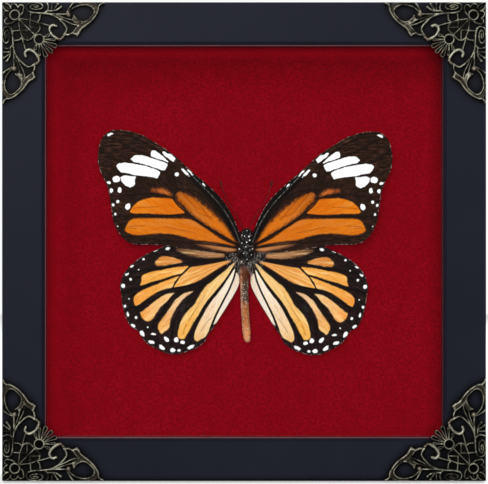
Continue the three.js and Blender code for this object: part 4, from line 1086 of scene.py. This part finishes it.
# ---- Body ----
# The dried body: a black head with two large eyes, a deep black thorax with white specks, and a slim ringed
# abdomen, brown above, grey in the middle and tan at its end. It is glued to the velvet.
BODY = {
    "around": 96,
    "along": 0.07,
    # down the body: place, half width, half depth, its axis above the velvet, and how far to the right
    "profile": [
        (3.7, 0.05, 0.05, 2.6, 0.15), (3.5, 0.7, 0.7, 2.65, 0.15), (3, 1.15, 1.15, 2.7, 0.15),
        (2.3, 1.38, 1.3, 2.7, 0.1), (1.5, 1.3, 1.25, 2.7, 0.05), (1, 1.25, 1.3, 2.65, 0.03),
        (0.2, 1.7, 1.75, 2.6, 0), (-1, 2.1, 2.1, 2.5, 0), (-2.6, 2.35, 2.3, 2.5, -0.05),
        (-4.2, 2.25, 2.2, 2.45, -0.1), (-5.8, 1.85, 1.9, 2.3, -0.2), (-7, 1.45, 1.5, 2, -0.3),
        (-8.2, 1.22, 1.3, 1.85, -0.42), (-10, 1.18, 1.25, 1.75, -0.52), (-13, 1.12, 1.15, 1.7, -0.52),
        (-17, 1.1, 1.05, 1.65, -0.42), (-21, 1.12, 1.05, 1.65, -0.2), (-24.5, 1.12, 1.05, 1.65, 0.05),
        (-26.3, 1, 0.95, 1.65, 0.2), (-27.3, 0.65, 0.65, 1.65, 0.3), (-27.7, 0.05, 0.05, 1.65, 0.3),
    ],
    "waist": -7.0,
    "ring": 2.35,
    "groove": 0.09,
    "rough": (0.14, 0.1),  # on the thorax, and how much less on the abdomen
    "lowest": 0.3,
    # where the fur begins and is full, upwards and downwards, and how much of it the head has
    "fur": {"rear": -8.8, "full": -7.6, "front": -4.4, "thin": -5.6, "head": 0.06},
    "eye": {"at": (1.0, 2.4, 2.8), "off": 0.1, "radius": 0.66, "turns": 24, "rings": 14},
    "seed": 23,
    # white specks on the head and thorax: right and up from the axis, and half their width
    "specks": [
        (-1.2, 1.8, 0.17), (-0.5, 1.5, 0.12), (0.75, 1.4, 0.22), (0.95, 0.4, 0.2), (0.1, -0.2, 0.15),
        (-1.2, -0.4, 0.13), (-1.9, -2, 0.2), (1.7, -2, 0.17), (-0.1, -1.4, 0.13), (-1.2, 2.6, 0.1),
        (0.2, 3, 0.1), (-1.3, -5.5, 0.16), (0.2, -4.8, 0.12), (1.4, -3.6, 0.12), (-0.7, -3.2, 0.12),
    ],
}
profile = np.array(BODY["profile"])
highest, lowest = profile[0, 0], profile[-1, 0]
count = round((highest - lowest) / BODY["along"])
closer_at_ends = highest + (lowest - highest) * (0.5 - 0.5 * np.cos(np.linspace(0, math.pi, count)))
down = 0.75 * np.linspace(highest, lowest, count) + 0.25 * closer_at_ends
splines = [smooth_path(profile[:, [0, k]], 0.05) for k in range(1, 5)]
wide, deep, axis_height, sideways = (np.interp(-down, -line[:, 0], line[:, 1]) for line in splines)
turn = np.linspace(0, 2 * math.pi, BODY["around"], endpoint=False)
level = np.repeat(down[:, None], BODY["around"], axis=1)
rough = wandering(level.shape, 1.3, BODY["seed"]) * 0.5 + wandering(level.shape, 4, 7)
on_abdomen = np.clip((BODY["waist"] - level) / 1.5, 0, 1)
rough = rough * (BODY["rough"][0] - BODY["rough"][1] * on_abdomen)
folds = 0.5 + 0.5 * np.cos(2 * math.pi * (level - BODY["waist"]) / BODY["ring"])
rough = rough - BODY["groove"] * on_abdomen * folds**8
rough = rough * np.clip(np.minimum(wide, deep) / 0.8, 0, 1)[:, None]
body_x = sideways[:, None] + (wide[:, None] + rough) * np.cos(turn)
body_rise = axis_height[:, None] + (deep[:, None] + rough) * np.sin(turn)
body_rise = np.maximum(body_rise, BODY["lowest"])
skin_points = np.stack([WING["axis"] + body_x, FACE + VELVET_DEPTH - body_rise, MIDDLE + level], axis=-1)
number, walls = ring_walls(count, BODY["around"])
trunk_faces = [walls[:, [0, 3, 2, 1]], number[:1], number[-1:, ::-1]]
trunk = mesh_of("trunk", skin_points.reshape(-1, 3) * MM, trunk_faces, angle=180)
coat = BODY["fur"]
furry = np.clip((level - coat["rear"]) / (coat["full"] - coat["rear"]), 0, 1)
furry = furry * np.clip((coat["front"] - level) / (coat["front"] - coat["thin"]), coat["head"], 1)
specks = np.full(level.shape, OUTSIDE)
for out, at, half in BODY["specks"]:
    specks = np.maximum(specks, half - np.hypot(body_x - out, level - at))
specks[:, BODY["around"] // 2 :] = OUTSIDE
tufts = wandering(level.shape, 1.5, 31) + 0.8 * wandering(level.shape, 4, 32)
for name, values in (("fur", furry), ("specks", specks), ("tufts", tufts)):
    layer = trunk.data.attributes.new(name, "FLOAT", "POINT")
    layer.data.foreach_set("value", values.astype(np.float32).ravel())

chitin = Finish("Body scales", Specular_IOR_Level=0.4)
on_body = chitin.parts()
wobble = chitin.noise(chitin.place(), 1400.0, 3.0, 0.6)
grit = chitin.noise(chitin.place(), 2600.0, 2.0, 0.6)
tuft = chitin.attribute("tufts")
height = chitin.math("SUBTRACT", chitin.math("MULTIPLY", on_body["Z"], 1 / MM), MIDDLE)
height = chitin.math("ADD", height, chitin.between(wobble, 0.2, 0.8, -0.9, 0.9, smooth=False))
# black thorax with grey tufts, and the abdomen's colours one below the other: where each starts and is full
tone = chitin.mix(chitin.between(tuft, 0.25, 0.65), linear(7, 7, 8), linear(92, 90, 88))
for start, full, colour in (
    (-6.4, -7.4, (88, 44, 18)),
    (-10.0, -12.0, (72, 44, 32)),
    (-16.0, -18.0, (176, 102, 48)),
    (-22, -25, (210, 138, 84)),
):
    tone = chitin.mix(chitin.between(height, full, start, 1.0, 0.0), tone, linear(*colour))
# the abdomen's pale flank on the left, its dark and light flecks, and the thorax's white specks
flank = chitin.between(on_body["X"], (WING["axis"] - 0.8) * MM, (WING["axis"] - 1.4) * MM)
flank = chitin.math("MULTIPLY", flank, chitin.between(height, -8.6, -7.2, 0.85, 0.0))
tone = chitin.mix(flank, tone, linear(206, 138, 100))
dark = chitin.math("MULTIPLY", chitin.between(tuft, 0.12, 0.45), chitin.between(height, -7.6, -6.6, 1.0, 0.0))
dark = chitin.math("MULTIPLY", dark, chitin.between(height, -24.0, -12.0, 0.35, 0.9))
tone = chitin.mix(dark, tone, linear(38, 20, 14))
light = chitin.between(height, -27.0, -9.0, 0.5, 0.8)
light = chitin.math("MULTIPLY", light, chitin.between(grit, 0.55, 0.62))
light = chitin.math("MULTIPLY", light, chitin.between(height, -12.0, -9.0, 1.0, 0.0))
tone = chitin.mix(light, tone, linear(226, 212, 196))
tone = chitin.mix(chitin.between(chitin.attribute("specks"), -0.06, 0.05), tone, linear(250, 250, 248))
chitin.set(
    Base_Color=tone,
    Roughness=chitin.between(grit, 0.3, 0.7, 0.28, 0.6),
    Normal=chitin.bump(wobble, 0.2 * MM, 0.9),
)
trunk.data.materials.append(chitin.material)

eye_black = Finish("Eye", Roughness=0.25, Specular_IOR_Level=0.5)
facet = eye_black.add("TexVoronoi", {"Vector": eye_black.place(), "Scale": 9000.0})
eye_black.set(Base_Color=eye_black.mix(facet, linear(14, 12, 13), linear(34, 30, 32)))
turns = BODY["eye"]["turns"]
lat = np.linspace(0, math.pi, BODY["eye"]["rings"] + 1)[1:-1, None]
lon = np.linspace(0, 2 * math.pi, turns, endpoint=False)
ball = np.stack([np.sin(lat) * np.cos(lon), np.sin(lat) * np.sin(lon), np.cos(lat) + 0 * lon], axis=-1)
ball = np.concatenate([ball.reshape(-1, 3), [[0, 0, 1], [0, 0, -1]]])
number, walls = ring_walls(len(lat), turns)
beside = np.roll(number, -1, axis=1)
caps = np.concatenate([
    np.stack([np.full(turns, number.size), number[0], beside[0]], axis=-1),
    np.stack([np.full(turns, number.size + 1), beside[-1], number[-1]], axis=-1),
])
for side, way in (("left", -1), ("right", 1)):
    out, up, rise = BODY["eye"]["at"]
    centre = np.array(
        [WING["axis"] + BODY["eye"]["off"] + way * out, FACE + VELVET_DEPTH - rise, MIDDLE + up]
    )
    eye_points = (centre + ball * BODY["eye"]["radius"]) * MM
    eye = mesh_of(f"eye_{side}", eye_points, [walls[:, [0, 3, 2, 1]], caps], angle=180)
    stand_for(eye, "butterfly_body", eye_black)

# ---- Hair ----
# Fine grey and black hairs, thickest at the rear of the thorax and over the wings' roots, combed towards the
# tail. Each grows from a point of the skin or wing, tapers, and leans a little its own way.
FUR = {
    "thorax": {"per_mm2": 26.0, "length": 0.8, "width": 0.08, "lie": (0, -0.2, -1.1), "seed": 3},
    "wing_roots": {"per_mm2": 16.0, "length": 1.1, "width": 0.06, "lie": (0, -0.35, -1.0), "seed": 8},
}
HAIR = {"sides": 3, "root": 0.5, "tip": 0.15, "shortest": 0.4, "stray": 0.55}
# what carries hair, of which kind, and the side that its name ends with
HAIRY = {
    "trunk": ("thorax", ""),
    "hindwing_left_scaled": ("wing_roots", "_left"),
    "hindwing_right_scaled": ("wing_roots", "_right"),
}
hair_tone = Finish("Grey hair", Roughness=0.6, Specular_IOR_Level=0.3)
shade = hair_tone.attribute("shade")
greys = hair_tone.mix(hair_tone.between(shade, 0.3, 0.5), linear(20, 18, 18), linear(128, 116, 108))
hair_tone.set(Base_Color=hair_tone.mix(hair_tone.between(shade, 0.6, 0.7), greys, linear(238, 232, 226)))


def fur_coat():
    """Nodes that grow tapered hairs over a mesh where its fur attribute says so."""
    tree = bpy.data.node_groups.new("Fur coat", "GeometryNodeTree")
    tree.interface.new_socket("Skin", in_out="INPUT", socket_type="NodeSocketGeometry")
    kinds = {"Hairs per square metre": "Float", "Length": "Float", "Width": "Float", "Lie": "Vector"}
    for name, kind in {**kinds, "Seed": "Int"}.items():
        tree.interface.new_socket(name, in_out="INPUT", socket_type=f"NodeSocket{kind}")
    tree.interface.new_socket("Hairs", in_out="OUTPUT", socket_type="NodeSocketGeometry")

    def node(kind, inputs=None, **settings):
        made = tree.nodes.new(kind)
        for name, value in settings.items():
            setattr(made, name, value)
        for key, value in (inputs or {}).items():
            if isinstance(value, bpy.types.NodeSocket):
                tree.links.new(value, made.inputs[key])
            else:
                made.inputs[key].default_value = value
        return made.outputs

    given = node("NodeGroupInput")
    fur = node("GeometryNodeInputNamedAttribute", {"Name": "fur"}, data_type="FLOAT")["Attribute"]
    density = node("ShaderNodeMath", {0: given["Hairs per square metre"], 1: fur}, operation="MULTIPLY")[0]
    roots = node(
        "GeometryNodeDistributePointsOnFaces",
        {"Mesh": given["Skin"], "Density": density, "Seed": given["Seed"]},
    )
    stray = node(
        "FunctionNodeRandomValue",
        {0: (-HAIR["stray"],) * 3, 1: (HAIR["stray"],) * 3, "Seed": given["Seed"]},
        data_type="FLOAT_VECTOR",
    )[0]
    way = node("ShaderNodeVectorMath", {0: roots["Normal"], 1: given["Lie"]}, operation="ADD")[0]
    way = node("ShaderNodeVectorMath", {0: way, 1: stray}, operation="ADD")[0]
    lean = node("FunctionNodeAlignRotationToVector", {"Vector": way}, axis="Z")["Rotation"]
    length_range = {2: HAIR["shortest"], 3: 1.0, "Seed": given["Seed"]}
    share = node("FunctionNodeRandomValue", length_range, data_type="FLOAT")[1]
    long = node("ShaderNodeMath", {0: given["Length"], 1: share}, operation="MULTIPLY")[0]
    scale = node("ShaderNodeCombineXYZ", {"X": given["Width"], "Y": given["Width"], "Z": long})[0]
    hair = node(
        "GeometryNodeMeshCone",
        {
            "Vertices": HAIR["sides"], "Side Segments": 1, "Depth": 1.0,
            "Radius Top": HAIR["tip"], "Radius Bottom": HAIR["root"],
        },
    )["Mesh"]
    placed = node(
        "GeometryNodeInstanceOnPoints",
        {"Points": roots["Points"], "Instance": hair, "Rotation": lean, "Scale": scale},
    )["Instances"]
    random_tone = node("FunctionNodeRandomValue", {2: 0.0, 3: 1.0, "Seed": 5}, data_type="FLOAT")[1]
    placed = node(
        "GeometryNodeStoreNamedAttribute",
        {"Geometry": placed, "Name": "shade", "Value": random_tone},
        data_type="FLOAT", domain="INSTANCE",
    )["Geometry"]
    real = node("GeometryNodeRealizeInstances", {"Geometry": placed})["Geometry"]
    dyed = node("GeometryNodeSetMaterial", {"Geometry": real, "Material": hair_tone.material})["Geometry"]
    node("NodeGroupOutput", {"Hairs": dyed})
    return tree


fur_nodes = fur_coat()
sockets = {item.name: item.identifier for item in fur_nodes.interface.items_tree if item.in_out == "INPUT"}
for host, (kind, side) in HAIRY.items():
    fur = FUR[kind]
    skin = bpy.data.objects[host]
    grow = skin.modifiers.new("Fur coat", "NODES")
    grow.node_group = fur_nodes
    grow[sockets["Hairs per square metre"]] = fur["per_mm2"] / MM**2
    grow[sockets["Length"]] = fur["length"] * MM
    grow[sockets["Width"]] = fur["width"] * MM
    grow[sockets["Lie"]] = fur["lie"]
    grow[sockets["Seed"]] = fur["seed"]
    grown = bpy.data.meshes.new_from_object(skin.evaluated_get(bpy.context.evaluated_depsgraph_get()))
    skin.modifiers.remove(grow)
    hairs = bpy.data.objects.new(f"hair_{kind}{side}", grown)
    bpy.context.collection.objects.link(hairs)
    stand_for(hairs, "butterfly_body")
stand_for(trunk, "butterfly_body")
